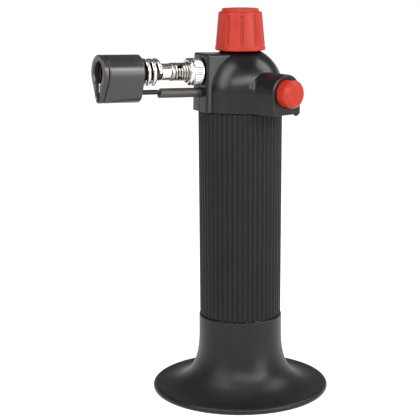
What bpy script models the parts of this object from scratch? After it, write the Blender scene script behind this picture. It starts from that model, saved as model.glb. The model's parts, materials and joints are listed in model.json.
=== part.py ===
"""Pocket gas torch with a flared stand, a ribbed grip over the fuel tank and a moulded head.

The head carries the gas knob on top, the ignition button on one side and the burner in front. The torch
stands upright along +Z and its burner points along -Y. Every piece is one object, placed under one of three
empties: the torch's own axis, the burner's axis and the button's axis.
"""

import math

import bmesh
import bpy
from mathutils import Matrix, Vector

MM = 0.001
MERGE = 0.00001

# Clearances
GAP = 0.3 * MM  # between two pieces that touch
RUN = 0.35 * MM  # round a spindle or stem that turns or slides

# Stand
BASE_RADIUS = 40.3 * MM
BASE_HEIGHT = 35.6 * MM
BASE_NECK_WALL = 1.55 * MM
BASE_WALL = 1.9 * MM
BASE_BEAD = 1.5 * MM
BASE_FOOT_WIDTH = 1.6 * MM
FLARE_HEIGHT = 26.8 * MM
FLARE_POWER = 0.71
FLARE_POINTS = 9

# Tank and grip
TANK_RADIUS = 17.0 * MM
TANK_WALL = 1.4 * MM
TANK_BOTTOM = 10.0 * MM
TANK_NECK_RADIUS = 8.0 * MM
TANK_NECK_HEIGHT = 4.3 * MM
TANK_DROP = 0.4 * MM  # the tank's shoulder lies this far below the grip's top
GRIP_LENGTH = 93.8 * MM
GRIP_RADIUS_LOW = 18.45 * MM
GRIP_RADIUS_HIGH = 18.7 * MM
RIB_COUNT = 50
RIB_DEPTH = 0.45 * MM

# Head
HEAD_WALL = 2.0 * MM
DOME_RADIUS = 19.1 * MM
DOME_SKIRT = 8.75 * MM
DOME_FLAT = 1.95 * MM  # height that the flat top takes off the dome
BLOCK_HALF_WIDTH = 6.9 * MM
BLOCK_PROUD = 0.7 * MM
BLOCK_DROP = 1.2 * MM  # the block's top starts this far below the dome's flat
BLOCK_ROUND = 0.8 * MM
SHELL_PARTING = 0.3 * MM
BOSS_RADIUS = 2.8 * MM
SCREW_HEAD_RADIUS = 1.7 * MM
SCREW_HEAD_HEIGHT = 1.3 * MM
SCREW_SEAT_DEPTH = 3.3 * MM  # below the outer end of its boss
SCREW_SHANK_RADIUS = 0.9 * MM
REAR_SCREW_INSET = 8.1 * MM
REAR_SCREW_RISE = 6.5 * MM
FRONT_SCREW_SETBACK = 7.0 * MM
FRONT_SCREW_RISE = 4.4 * MM

# Button, its tower and the spark maker behind it
BUTTON_AZIMUTH = 14.0
BUTTON_RISE = 9.3 * MM
BUTTON_RADIUS = 6.2 * MM
BUTTON_PROUD = 5.6 * MM
BUTTON_CHAMFER = 1.1 * MM
BUTTON_TRAVEL = 4.5 * MM
BUTTON_FLANGE = 0.5 * MM
BUTTON_WALL = 1.0 * MM
BUTTON_TOP_WALL = 2.1 * MM
TOWER_REACH = 30.0 * MM
TOWER_WALL = 1.2 * MM
TOWER_FACE_WALL = 2.0 * MM
TOWER_ROUND = 0.6 * MM
TOWER_FOOT_RADIUS = 1.3 * MM
PIEZO_START = 8.3 * MM
PIEZO_BLOCK_LENGTH = 11.7 * MM
PIEZO_HALF_WIDTH = 3.6 * MM
PIEZO_NOSE_RADIUS = 3.8 * MM
PLUNGER_RADIUS = 2.0 * MM
PIEZO_SPRING_RADIUS = 3.0 * MM
PIEZO_SPRING_WIRE = 0.35 * MM

# Gas valve and knob
VALVE_RADIUS = 5.0 * MM
VALVE_SHOULDER_RADIUS = 7.4 * MM
VALVE_SHOULDER_HEIGHT = 2.5 * MM
VALVE_BORE = 3.0 * MM
VALVE_DEPTH = 10.0 * MM  # how far the valve body reaches down into the tank
VALVE_WAY = 1.0 * MM  # radius of the gas way up from the wick
OUTLET_RADIUS = 1.2 * MM
SEAT_DROP = 3.3 * MM
VALVE_RISE = 4.2 * MM  # the valve body's top above the burner's axis
GLAND_WALL = 1.0 * MM
SPINDLE_RADIUS = 1.8 * MM
SPINDLE_LIFT = 1.2 * MM
SPINDLE_WAIST = 1.5 * MM  # radius inside the seal's groove
NEEDLE_RADIUS = 1.3 * MM
SPINDLE_TAPPED = 5.5 * MM  # depth of the hole for the knob's screw
GLAND_HEIGHT = GLAND_WALL + SPINDLE_LIFT + 0.1 * MM
KNOB_RADIUS_LOW = 11.2 * MM
KNOB_RADIUS_HIGH = 9.7 * MM
KNOB_HEIGHT = 16.8 * MM
KNOB_SHOULDER = 0.8 * MM
KNOB_GROOVES = 10
KNOB_GROOVE_WIDTH = 1.3 * MM
KNOB_GROOVE_DEPTH = 0.5 * MM
KNOB_GROOVE_TURN = 12.0
KNOB_GROOVE_START = 3.0 * MM
CAP_RADIUS = 8.3 * MM
CAP_PROUD = 1.3 * MM
CAP_SEAT = 1.5 * MM
CAP_MARK = 0.4 * MM
KNOB_SCREW_RADIUS = 2.5 * MM
KNOB_SCREW_HEAD = 1.6 * MM
KNOB_WEB = 2.2 * MM  # of the knob under its screw, and round its hub

# Burner line
NOZZLE_TILT = 2.0
NOZZLE_RISE = 16.8 * MM  # above the head's bottom, on the torch's axis
MIXER_RADIUS = 4.0 * MM
MIXER_BORE = 3.0 * MM
MIXER_HOLD = 4.3 * MM
AIR_HOLE_RADIUS = 1.25 * MM
AIR_HOLE_AT = 11.2 * MM
AIR_HOLES = 4
COLLAR_RADIUS = 6.0 * MM
COLLAR_LENGTH = 6.4 * MM
COLLAR_SETOFF = 0.4 * MM
COLLAR_TRAVEL = 5.0 * MM
MIXER_STOP = 3.2 * MM  # thread left in front of the collar at its furthest
MIXER_REACH = COLLAR_SETOFF + COLLAR_LENGTH + COLLAR_TRAVEL + MIXER_STOP
RING_WIRE = 0.35 * MM
SOCKET_RADIUS = 3.7 * MM
SOCKET_LENGTH = 4.2 * MM
FLAME_RADIUS = 3.6 * MM
FLAME_MOUTH_RADIUS = 4.4 * MM
FLAME_WALL = 0.5 * MM
COIL_RADIUS = 6.0 * MM
COIL_WIRE = 0.9 * MM
COIL_TURNS = 2.6
COIL_PITCH = 3.05 * MM
COIL_LEAD = 0.4 * MM

# Shroud and ignition lead
SHROUD_SETOFF = 10.0 * MM  # from the socket's front to the shroud's back
SHROUD_LENGTH = 16.1 * MM
SHROUD_RADIUS = 7.7 * MM
SHROUD_TIP_RADIUS = 2.4 * MM
SHROUD_TIP_DROP = 10.5 * MM
SHROUD_WALL = 1.5 * MM
RING_LENGTH = 2.2 * MM
RING_MOUTH = 5.0 * MM
LEAD_DROP = 9.1 * MM
LEAD_STEP = 0.5 * MM  # the thin tube's centre above the thick sleeve's
SLEEVE_RADIUS = 2.1 * MM
SLEEVE_BORE = 0.9 * MM
THIN_RADIUS = 1.05 * MM
THIN_BORE = 0.75 * MM
LEAD_WIRE = 0.35 * MM
ELECTRODE_WIRE = 0.45 * MM
INSULATOR_RADIUS = 1.5 * MM
INSULATOR_BORE = 0.8 * MM

# Refill valve
REFILL_RADIUS = 3.2 * MM
REFILL_FLANGE = 4.6 * MM
REFILL_LIP = 1.5 * MM
REFILL_LENGTH = 10.0 * MM
REFILL_BORE = 2.2 * MM
REFILL_TRAVEL = 1.5 * MM
STEM_RADIUS = 0.8 * MM
STEM_COLLAR = 1.8 * MM
REFILL_SPRING_LENGTH = 5.0 * MM
REFILL_SPRING_RADIUS = 1.45 * MM
REFILL_SPRING_WIRE = 0.25 * MM
WICK_RADIUS = 1.6 * MM
WICK_HOLD = 5.0 * MM  # how far the wick reaches up into the valve body

# Heights that follow from the sizes above
GRIP_BOTTOM = BASE_HEIGHT + GAP
GRIP_TOP = GRIP_BOTTOM + GRIP_LENGTH
HEAD_BOTTOM = GRIP_TOP + GAP
DOME_CENTRE = HEAD_BOTTOM + DOME_SKIRT
HEAD_TOP = DOME_CENTRE + DOME_RADIUS - DOME_FLAT
TANK_TOP = GRIP_TOP - TANK_DROP
TANK_NECK_TOP = TANK_TOP + TANK_NECK_HEIGHT
VALVE_FOOT = TANK_TOP - TANK_WALL - VALVE_DEPTH
NOZZLE_HEIGHT = HEAD_BOTTOM + NOZZLE_RISE
BUTTON_HEIGHT = HEAD_BOTTOM + BUTTON_RISE
VALVE_TOP = NOZZLE_HEIGHT + VALVE_RISE
SEAT_HEIGHT = NOZZLE_HEIGHT - SEAT_DROP
SHOULDER_BOTTOM = TANK_NECK_TOP + 4 * RING_WIRE
KNOB_BOTTOM = HEAD_TOP + GAP
KNOB_TOP = KNOB_BOTTOM + KNOB_HEIGHT
SPINDLE_TOP = KNOB_BOTTOM + 8.7 * MM

# Distances along the burner's axis
BLOCK_FRONT = DOME_RADIUS + BLOCK_PROUD
MIXER_START = BLOCK_FRONT - MIXER_HOLD
MIXER_END = BLOCK_FRONT + MIXER_REACH
COLLAR_START = BLOCK_FRONT + COLLAR_SETOFF
SOCKET_START = MIXER_END + GAP
SOCKET_END = SOCKET_START + SOCKET_LENGTH
FLAME_START = SOCKET_END + GAP
SHROUD_BACK = SOCKET_END + SHROUD_SETOFF
SHROUD_FRONT = SHROUD_BACK + SHROUD_LENGTH
RING_BACK = SHROUD_FRONT + GAP
RING_FRONT = RING_BACK + RING_LENGTH

# Distances along the button's axis
BUTTON_FACE = TOWER_REACH + BUTTON_PROUD
FLANGE_FRONT = TOWER_REACH - TOWER_FACE_WALL - GAP
FLANGE_BACK = FLANGE_FRONT - BUTTON_WALL
BUTTON_CEILING = BUTTON_FACE - BUTTON_TOP_WALL
TOWER_CAVITY = BUTTON_RADIUS + BUTTON_FLANGE + GAP
TOWER_HALF_WIDTH = TOWER_CAVITY + TOWER_WALL
PIEZO_BLOCK_END = PIEZO_START + PIEZO_BLOCK_LENGTH
PIEZO_FRONT = FLANGE_BACK + GAP

# The torch's axis stands back, so that the burner's tip and the stand's rim are equally far from the origin.
TILT = math.radians(NOZZLE_TILT)
BURNER_REACH = RING_FRONT * math.cos(TILT) + (SHROUD_TIP_DROP + SHROUD_TIP_RADIUS) * math.sin(TILT)
AXIS_Y = (BURNER_REACH - BASE_RADIUS) / 2

# Colour, roughness and metallic value of each finish
FINISHES = {
    "satin_black": ((0.035, 0.035, 0.037), 0.42, 0.0),
    "grip_grey": ((0.045, 0.042, 0.042), 0.55, 0.0),
    "gloss_black": ((0.012, 0.012, 0.013), 0.16, 0.0),
    "red": ((0.62, 0.045, 0.03), 0.3, 0.0),
    "nickel": ((0.72, 0.71, 0.69), 0.22, 1.0),
    "steel": ((0.55, 0.55, 0.56), 0.3, 1.0),
    "brass": ((0.75, 0.55, 0.24), 0.28, 1.0),
    "copper": ((0.72, 0.4, 0.26), 0.35, 1.0),
    "rubber": ((0.02, 0.02, 0.02), 0.7, 0.0),
    "nylon": ((0.55, 0.53, 0.48), 0.5, 0.0),
    "ceramic": ((0.8, 0.78, 0.72), 0.35, 0.0),
    "cotton": ((0.7, 0.66, 0.56), 0.9, 0.0),
}

FINE = 40
MEDIUM = 28
SMALL = 20


# ---------------------------------------------------------------- tools


def clear_scene():
    for item in list(bpy.data.objects):
        bpy.data.objects.remove(item, do_unlink=True)
    for group in list(bpy.data.collections):
        bpy.data.collections.remove(group)


def add_collection(name):
    group = bpy.data.collections.new(name)
    bpy.context.scene.collection.children.link(group)
    return group


def finish_for(name, finish):
    """A Principled material for one piece, from the named finish."""
    colour, roughness, metallic = FINISHES[finish]
    material = bpy.data.materials.new(name + "_finish")
    material.use_nodes = True
    shader = material.node_tree.nodes["Principled BSDF"]
    shader.inputs["Base Color"].default_value = (*colour, 1.0)
    shader.inputs["Roughness"].default_value = roughness
    shader.inputs["Metallic"].default_value = metallic
    return material


def add_part(name, data, finish, parent, place=(0, 0, 0), turn=(0, 0, 0)):
    part = bpy.data.objects.new(name, data)
    part.data.materials.append(finish_for(name, finish))
    part.parent = parent
    part.location = place
    part.rotation_euler = turn
    bpy.data.collections["propane_torch"].objects.link(part)
    return part


def add_cutter(name, data, parent, place=(0, 0, 0), turn=(0, 0, 0)):
    cutter = bpy.data.objects.new(name, data)
    cutter.parent = parent
    cutter.location = place
    cutter.rotation_euler = turn
    cutter.hide_render = True
    cutter.display_type = "WIRE"
    bpy.data.collections["cutters"].objects.link(cutter)
    return cutter


def combine(part, other, operation="DIFFERENCE", solver="EXACT"):
    step = part.modifiers.new(operation.lower() + "_" + other.name, "BOOLEAN")
    step.operation = operation
    step.solver = solver
    step.object = other


def round_edges(part, width, segments=2):
    bevel = part.modifiers.new("rounding", "BEVEL")
    bevel.width = width
    bevel.segments = segments
    bevel.limit_method = "ANGLE"
    bevel.angle_limit = math.radians(40)


def spin(part, steps):
    """Turns a half profile in the object's XZ plane about its Z axis."""
    screw = part.modifiers.new("turning", "SCREW")
    screw.axis = "Z"
    screw.steps = steps
    screw.render_steps = steps
    screw.use_merge_vertices = True
    screw.merge_threshold = MERGE
    screw.use_smooth_shade = True


def profile_mesh(name, profile, ring=False):
    """Edges through (radius, height) points, closed to a loop where the profile is a ring's section."""
    mesh = bpy.data.meshes.new(name)
    edges = [(i, i + 1) for i in range(len(profile) - 1)]
    if ring:
        edges.append((len(profile) - 1, 0))
    mesh.from_pydata([(radius, 0, height) for radius, height in profile], edges, [])
    return mesh


def turned(name, profile, finish, parent, steps=SMALL, ring=False):
    part = add_part(name, profile_mesh(name, profile, ring), finish, parent)
    spin(part, steps)
    return part


def turned_cutter(name, profile, parent, steps=SMALL):
    cutter = add_cutter(name, profile_mesh(name, profile), parent)
    spin(cutter, steps)
    return cutter


def tube_section(low, high, outer, inner, chamfer=0.0):
    """The section of a plain tube, with its two outer corners chamfered."""
    if not chamfer:
        return [(outer, high), (outer, low), (inner, low), (inner, high)]
    return [
        (outer - chamfer, high),
        (outer, high - chamfer),
        (outer, low + chamfer),
        (outer - chamfer, low),
        (inner, low),
        (inner, high),
    ]


def rod_section(low, high, radius, chamfer=0.0):
    if not chamfer:
        return [(0, high), (radius, high), (radius, low), (0, low)]
    return [
        (0, high),
        (radius - chamfer, high),
        (radius, high - chamfer),
        (radius, low + chamfer),
        (radius - chamfer, low),
        (0, low),
    ]


def mesh_from(name, shape):
    mesh = bpy.data.meshes.new(name)
    shape.to_mesh(mesh)
    shape.free()
    return mesh


def box_mesh(name, low, high):
    shape = bmesh.new()
    bmesh.ops.create_cube(shape, size=1.0)
    low, high = Vector(low), Vector(high)
    bmesh.ops.transform(shape, verts=shape.verts, matrix=Matrix.Diagonal((*(high - low), 1)))
    bmesh.ops.translate(shape, verts=shape.verts, vec=(low + high) / 2)
    return mesh_from(name, shape)


def round_mesh(name, radius, low, high, segments=SMALL, top_radius=None):
    shape = bmesh.new()
    bmesh.ops.create_cone(
        shape,
        cap_ends=True,
        segments=segments,
        radius1=radius,
        radius2=radius if top_radius is None else top_radius,
        depth=high - low,
    )
    bmesh.ops.translate(shape, verts=shape.verts, vec=(0, 0, (low + high) / 2))
    return mesh_from(name, shape)


def outline_mesh(name, outline, low, high):
    """A closed flat outline, filled and given a thickness from low to high along Z."""
    curve = bpy.data.curves.new(name, "CURVE")
    curve.dimensions = "2D"
    curve.fill_mode = "BOTH"
    curve.extrude = (high - low) / 2
    spline = curve.splines.new("POLY")
    spline.points.add(len(outline) - 1)
    for point, (x, y) in zip(spline.points, outline):
        point.co = (x, y, 0, 1)
    spline.use_cyclic_u = True
    guide = bpy.data.objects.new(name + "_guide", curve)
    bpy.context.scene.collection.objects.link(guide)
    graph = bpy.context.evaluated_depsgraph_get()
    mesh = bpy.data.meshes.new_from_object(guide.evaluated_get(graph))
    mesh.name = name
    bpy.data.objects.remove(guide)
    shape = bmesh.new()
    shape.from_mesh(mesh)
    bmesh.ops.remove_doubles(shape, verts=shape.verts, dist=MERGE)
    bmesh.ops.translate(shape, verts=shape.verts, vec=(0, 0, (low + high) / 2))
    shape.to_mesh(mesh)
    shape.free()
    return mesh


def wire_curve(name, route, radius, resolution=2):
    curve = bpy.data.curves.new(name, "CURVE")
    curve.dimensions = "3D"
    curve.bevel_depth = radius
    curve.bevel_resolution = resolution
    curve.use_fill_caps = True
    spline = curve.splines.new("POLY")
    spline.points.add(len(route) - 1)
    for point, place in zip(spline.points, route):
        point.co = (*place, 1)
    return curve


def arc(centre, radius, start, end, steps):
    """Points on an arc, with its angles in degrees."""
    angles = [math.radians(start + (end - start) * i / steps) for i in range(steps + 1)]
    return [(centre[0] + radius * math.cos(a), centre[1] + radius * math.sin(a)) for a in angles]


def helix(radius, low, high, turns, per_turn=12):
    count = int(turns * per_turn)
    route = []
    for i in range(count + 1):
        angle = math.tau * turns * i / count
        height = low + (high - low) * i / count
        route.append((radius * math.cos(angle), radius * math.sin(angle), height))
    return route


def add_axes():
    """The three empties that the pieces hang from, with each axis along the empty's own Z."""
    torch = bpy.data.objects.new("torch_axis", None)
    torch.location = (0, AXIS_Y, 0)
    burner = bpy.data.objects.new("burner_axis", None)
    burner.parent = torch
    burner.location = (0, 0, NOZZLE_HEIGHT)
    burner.rotation_euler = (math.radians(90 - NOZZLE_TILT), 0, 0)
    button = bpy.data.objects.new("button_axis", None)
    button.parent = torch
    button.location = (0, 0, BUTTON_HEIGHT)
    button.rotation_euler = (math.radians(90), 0, math.radians(90 + BUTTON_AZIMUTH))
    for empty in (torch, burner, button):
        bpy.data.collections["propane_torch"].objects.link(empty)
    return torch, burner, button


# ---------------------------------------------------------------- stand, grip and tank


def flare_points():
    """The stand's outer flare from the straight neck down to the bead, a quarter of a superellipse."""
    neck = TANK_RADIUS + GAP + BASE_NECK_WALL
    reach = BASE_RADIUS - BASE_BEAD - neck
    low = 2 * BASE_BEAD
    points = []
    for i in range(FLARE_POINTS + 1):
        angle = math.pi / 2 * i / FLARE_POINTS
        across = neck + reach * (1 - math.cos(angle) ** FLARE_POWER)
        height = low + FLARE_HEIGHT * (1 - math.sin(angle) ** FLARE_POWER)
        points.append((across, height))
    return points


def base_stand(torch):
    bore = TANK_RADIUS + GAP
    outer = flare_points()
    bead = arc((BASE_RADIUS - BASE_BEAD, BASE_BEAD), BASE_BEAD, 90, -90, 4)[1:]
    foot_inside = BASE_RADIUS - BASE_BEAD - BASE_FOOT_WIDTH
    under = []
    for (r0, z0), (r1, z1) in zip(outer[1:-1], outer[2:]):
        run, drop = r1 - r0, z0 - z1
        length = math.hypot(run, drop)
        radius, height = r0 - BASE_WALL * drop / length, z0 - BASE_WALL * run / length
        if radius > bore + MERGE and radius < foot_inside - 2 * BASE_WALL:
            under.append((radius, height))
    under.reverse()
    neck_top = [(outer[0][0] - GAP, BASE_HEIGHT), (outer[0][0], BASE_HEIGHT - GAP)]
    inside = [(foot_inside, 0), (foot_inside - BASE_WALL, under[0][1])]
    neck = [(bore, under[-1][1] + BASE_WALL), (bore, BASE_HEIGHT)]
    profile = neck_top + outer + bead + inside + under + neck
    return turned("base_stand", profile, "satin_black", torch, FINE, ring=True)


def grip_sleeve(torch):
    """A tapered sleeve whose outer wall stands out in straight ribs, four points to a rib."""
    mesh = round_mesh(
        "grip_sleeve", GRIP_RADIUS_LOW, GRIP_BOTTOM, GRIP_TOP, 4 * RIB_COUNT, GRIP_RADIUS_HIGH
    )
    for vertex in mesh.vertices:
        around = math.atan2(vertex.co.y, vertex.co.x) % (math.tau / RIB_COUNT)
        quarter = round(around / (math.tau / RIB_COUNT / 4)) % 4
        if quarter == 0:
            radius = math.hypot(vertex.co.x, vertex.co.y)
            vertex.co.x *= 1 - RIB_DEPTH / radius
            vertex.co.y *= 1 - RIB_DEPTH / radius
    part = add_part("grip_sleeve", mesh, "grip_grey", torch)
    bore = round_mesh("cut_grip_bore", TANK_RADIUS + GAP, GRIP_BOTTOM - 5 * MM, GRIP_TOP + 5 * MM, FINE)
    combine(part, add_cutter("cut_grip_bore", bore, torch))
    return part


def fuel_tank(torch):
    inner = TANK_RADIUS - TANK_WALL
    port = REFILL_RADIUS + GAP
    throat = VALVE_RADIUS + GAP
    round_r = 2.0 * MM
    profile = [
        (TANK_NECK_RADIUS, TANK_NECK_TOP),
        (TANK_NECK_RADIUS, TANK_TOP),
        *reversed(arc((TANK_RADIUS - round_r, TANK_TOP - round_r), round_r, 0, 90, 3)),
        *reversed(arc((TANK_RADIUS - round_r, TANK_BOTTOM + round_r), round_r, -90, 0, 3)),
        (port, TANK_BOTTOM),
        (port, TANK_BOTTOM + TANK_WALL),
        (inner, TANK_BOTTOM + TANK_WALL),
        (inner, TANK_TOP - round_r),
        (throat, TANK_TOP - TANK_WALL),
        (throat, TANK_NECK_TOP),
    ]
    return turned("fuel_tank", profile, "steel", torch, MEDIUM, ring=True)


def neck_seal(torch):
    middle = (VALVE_RADIUS + TANK_NECK_RADIUS) / 2
    ring = arc((middle, TANK_NECK_TOP + 2 * RING_WIRE), 1.4 * RING_WIRE, 180, -135, 7)
    return turned("neck_seal", ring, "rubber", torch, SMALL, ring=True)


def fuel_wick(torch):
    top = VALVE_FOOT + WICK_HOLD - GAP
    low = TANK_BOTTOM + REFILL_LENGTH + 3 * MM
    return turned("fuel_wick", rod_section(low, top, WICK_RADIUS), "cotton", torch)


# ---------------------------------------------------------------- refill valve


def refill_levels():
    """Heights inside the refill valve: flange face, flange top, lip top, collar, spring and body top."""
    flange_top = TANK_BOTTOM - GAP
    face = flange_top - REFILL_LIP
    lip = flange_top + 0.5 * MM
    collar = lip + 1.9 * MM
    spring = collar + 1.0 * MM + GAP
    return face, flange_top, lip, collar, spring


def refill_valve(torch):
    face, flange_top, lip, collar, spring = refill_levels()
    top = flange_top + REFILL_LENGTH + REFILL_LIP
    hole = STEM_RADIUS + GAP
    body = [
        (REFILL_RADIUS, top),
        (REFILL_RADIUS, flange_top),
        (REFILL_FLANGE, flange_top),
        (REFILL_FLANGE, face),
        (hole, face),
        (hole, lip),
        (REFILL_BORE, lip),
        (REFILL_BORE, top),
    ]
    turned("refill_valve_body", body, "brass", torch, SMALL, ring=True)
    stem = [
        (0, spring + REFILL_TRAVEL + 2 * GAP),
        (STEM_RADIUS, spring + REFILL_TRAVEL + 2 * GAP),
        (STEM_RADIUS, collar + 1.0 * MM),
        (STEM_COLLAR, collar + 1.0 * MM),
        (STEM_COLLAR, collar),
        (STEM_RADIUS, collar),
        (STEM_RADIUS, face + GAP),
        (0, face + GAP),
    ]
    turned("refill_stem", stem, "brass", torch)
    seal = tube_section(lip + GAP, collar - GAP, STEM_COLLAR, hole)
    turned("refill_seal", seal, "rubber", torch, SMALL, ring=True)
    coil = helix(
        REFILL_SPRING_RADIUS,
        spring + REFILL_SPRING_WIRE,
        spring + REFILL_SPRING_LENGTH - REFILL_SPRING_WIRE,
        4,
    )
    add_part("refill_spring", wire_curve("refill_spring", coil, REFILL_SPRING_WIRE), "steel", torch)
    retainer_low = spring + REFILL_SPRING_LENGTH + GAP
    retainer = tube_section(retainer_low, retainer_low + 1.0 * MM, REFILL_BORE - GAP, 0.6 * MM)
    turned("refill_retainer", retainer, "brass", torch, SMALL, ring=True)


# ---------------------------------------------------------------- head shells


def dome_profile(radius, top, low, steps):
    """A dome with a flat top, straight below its centre: the radius is the dome's own."""
    start = math.degrees(math.asin((top - DOME_CENTRE) / radius))
    side = arc((0, DOME_CENTRE), radius, start, 0, steps)
    return [(0, top), *side, (radius, low), (0, low)]


def arch_outline(half_width, low):
    """A flat-bottomed arch about the button's axis."""
    return [(-half_width, low), (half_width, low), *arc((0, 0), half_width, 0, 180, 16)]


def screw_places():
    """Name, place along Y, height, boss length and head's seat for each screw that joins the shells."""
    rear_y = DOME_RADIUS - REAR_SCREW_INSET
    front_y = FRONT_SCREW_SETBACK - BLOCK_FRONT
    places = []
    for name, y, rise in (("rear", rear_y, REAR_SCREW_RISE), ("front", front_y, FRONT_SCREW_RISE)):
        end = math.sqrt((DOME_RADIUS - GAP) ** 2 - (abs(y) + BOSS_RADIUS) ** 2)
        places.append((name, y, HEAD_BOTTOM + rise, end, end - SCREW_SEAT_DEPTH))
    return places


def head_solids(burner, side):
    """The two outer forms that both halves of the head share: the dome and the front block."""
    sunk = 2 * MM
    dome = profile_mesh(
        "form_dome_" + side, dome_profile(DOME_RADIUS, HEAD_TOP, HEAD_BOTTOM - sunk, 9)
    )
    block_low = HEAD_BOTTOM - NOZZLE_HEIGHT - sunk
    block_top = HEAD_TOP - BLOCK_DROP - NOZZLE_HEIGHT
    block = add_cutter(
        "form_block_" + side,
        box_mesh(
            "form_block_" + side,
            (-BLOCK_HALF_WIDTH, block_low, -2 * MM),
            (BLOCK_HALF_WIDTH, block_top, BLOCK_FRONT),
        ),
        burner,
    )
    round_edges(block, BLOCK_ROUND)
    return dome, block


def tower_solid(button):
    """The button's tower: a flat-bottomed arch that runs out from the torch's axis."""
    low = HEAD_BOTTOM - BUTTON_HEIGHT - 2 * MM
    arch = outline_mesh("form_tower", arch_outline(TOWER_HALF_WIDTH, low), 0, TOWER_REACH)
    tower = add_cutter("form_tower", arch, button)
    round_edges(tower, TOWER_ROUND)
    return tower


def tower_hollows(button):
    """The spark maker's room in the tower and the button's hole in its face."""
    outline = arch_outline(TOWER_CAVITY, HEAD_BOTTOM - BUTTON_HEIGHT + TOWER_WALL)
    room = outline_mesh("cut_tower_room", outline, PIEZO_START, TOWER_REACH - TOWER_FACE_WALL)
    low, high = TOWER_REACH - 4 * MM, TOWER_REACH + 2 * MM
    hole = round_mesh("cut_button_hole", BUTTON_RADIUS + GAP, low, high, MEDIUM)
    return (
        add_cutter("cut_tower_room", room, button),
        add_cutter("cut_button_hole", hole, button),
    )


def head_hollows(torch, burner, side):
    """What is taken out of each half: the room inside it and the holes through its walls."""
    room = dome_profile(DOME_RADIUS - HEAD_WALL, HEAD_TOP - HEAD_WALL, HEAD_BOTTOM - 5 * MM, 6)
    hollows = [turned_cutter("cut_room_" + side, room, torch, MEDIUM)]
    inner = BLOCK_HALF_WIDTH - HEAD_WALL
    block_top = HEAD_TOP - BLOCK_DROP - NOZZLE_HEIGHT - HEAD_WALL
    block_room = box_mesh(
        "cut_block_room_" + side,
        (-inner, HEAD_BOTTOM - NOZZLE_HEIGHT - 5 * MM, 0),
        (inner, block_top - GAP, BLOCK_FRONT - HEAD_WALL),
    )
    hollows.append(add_cutter("cut_block_room_" + side, block_room, burner))
    top_hole = round_mesh(
        "cut_top_hole_" + side, SPINDLE_RADIUS + 2 * RUN, HEAD_TOP - 4 * MM, HEAD_TOP + 2 * MM
    )
    hollows.append(add_cutter("cut_top_hole_" + side, top_hole, torch))
    for name, radius, drop in (
        ("burner", MIXER_RADIUS + GAP, 0),
        ("lead", SLEEVE_RADIUS + GAP, LEAD_DROP),
    ):
        label = "cut_" + name + "_hole_" + side
        hole = round_mesh(label, radius, BLOCK_FRONT - 5 * MM, BLOCK_FRONT + 2 * MM)
        hollows.append(add_cutter(label, hole, burner, (0, -drop, 0)))
    return hollows


def shell_bosses(torch, side):
    """Bosses for the screws, from the parting plane to the wall, and the holes in them."""
    sign = 1 if side == "left" else -1
    bosses, holes = [], []
    for name, y, z, end, seat in screw_places():
        place = (0, y, z)
        turn = (0, math.radians(90 * sign), 0)
        label = name + "_" + side
        boss = round_mesh("form_boss_" + label, BOSS_RADIUS, 0, end, SMALL)
        bosses.append(add_cutter("form_boss_" + label, boss, torch, place, turn))
        depth = seat + 2 * MM if side == "right" else seat - 2 * MM
        hole = round_mesh("cut_screw_" + label, SCREW_SHANK_RADIUS + GAP, -1 * MM, depth, 16)
        holes.append(add_cutter("cut_screw_" + label, hole, torch, place, turn))
        if side == "right":
            sink = round_mesh("cut_head_" + label, SCREW_HEAD_RADIUS + GAP, seat, DOME_RADIUS, 16)
            holes.append(add_cutter("cut_head_" + label, sink, torch, place, turn))
    return bosses, holes


def tower_details(button):
    """The rest under the spark maker and the small moulded foot under the tower's outer corner."""
    floor = HEAD_BOTTOM - BUTTON_HEIGHT
    rest = box_mesh(
        "form_piezo_rest",
        (-2.5 * MM, floor + TOWER_WALL / 2, DOME_RADIUS - HEAD_WALL + GAP),
        (2.5 * MM, -PIEZO_HALF_WIDTH - GAP, PIEZO_BLOCK_END + 1.2 * MM),
    )
    shape = bmesh.new()
    bmesh.ops.create_uvsphere(shape, u_segments=16, v_segments=10, radius=TOWER_FOOT_RADIUS)
    foot = mesh_from("form_tower_foot", shape)
    inset = TOWER_FOOT_RADIUS + 0.1 * MM
    place = (TOWER_HALF_WIDTH - inset, floor + 0.2 * MM, TOWER_REACH - inset)
    return (
        add_cutter("form_piezo_rest", rest, button),
        add_cutter("form_tower_foot", foot, button, place, (math.radians(90), 0, 0)),
    )


def head_shell(torch, burner, button, side):
    """One half of the head. The left half, on +X, carries the whole tower."""
    dome, block = head_solids(burner, side)
    shell = add_part("head_shell_" + side, dome, "gloss_black", torch)
    spin(shell, FINE)
    combine(shell, block, "UNION")
    hollows = head_hollows(torch, burner, side)
    if side == "left":
        combine(shell, tower_solid(button), "UNION")
        hollows += tower_hollows(button)
    for hollow in hollows:
        combine(shell, hollow)
    bosses, holes = shell_bosses(torch, side)
    for boss in bosses:
        combine(shell, boss, "UNION")
    for hole in holes:
        combine(shell, hole)
    near, far = SHELL_PARTING / 2, 60 * MM
    low, high = ((near, far) if side == "left" else (-far, -near))
    half = box_mesh(
        "keep_half_" + side, (low, -far, HEAD_BOTTOM), (high, far, HEAD_TOP + 20 * MM)
    )
    combine(shell, add_cutter("keep_half_" + side, half, torch), "INTERSECT")
    if side == "left":
        for detail in tower_details(button):
            combine(shell, detail, "UNION", "MANIFOLD")
    return shell


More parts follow.
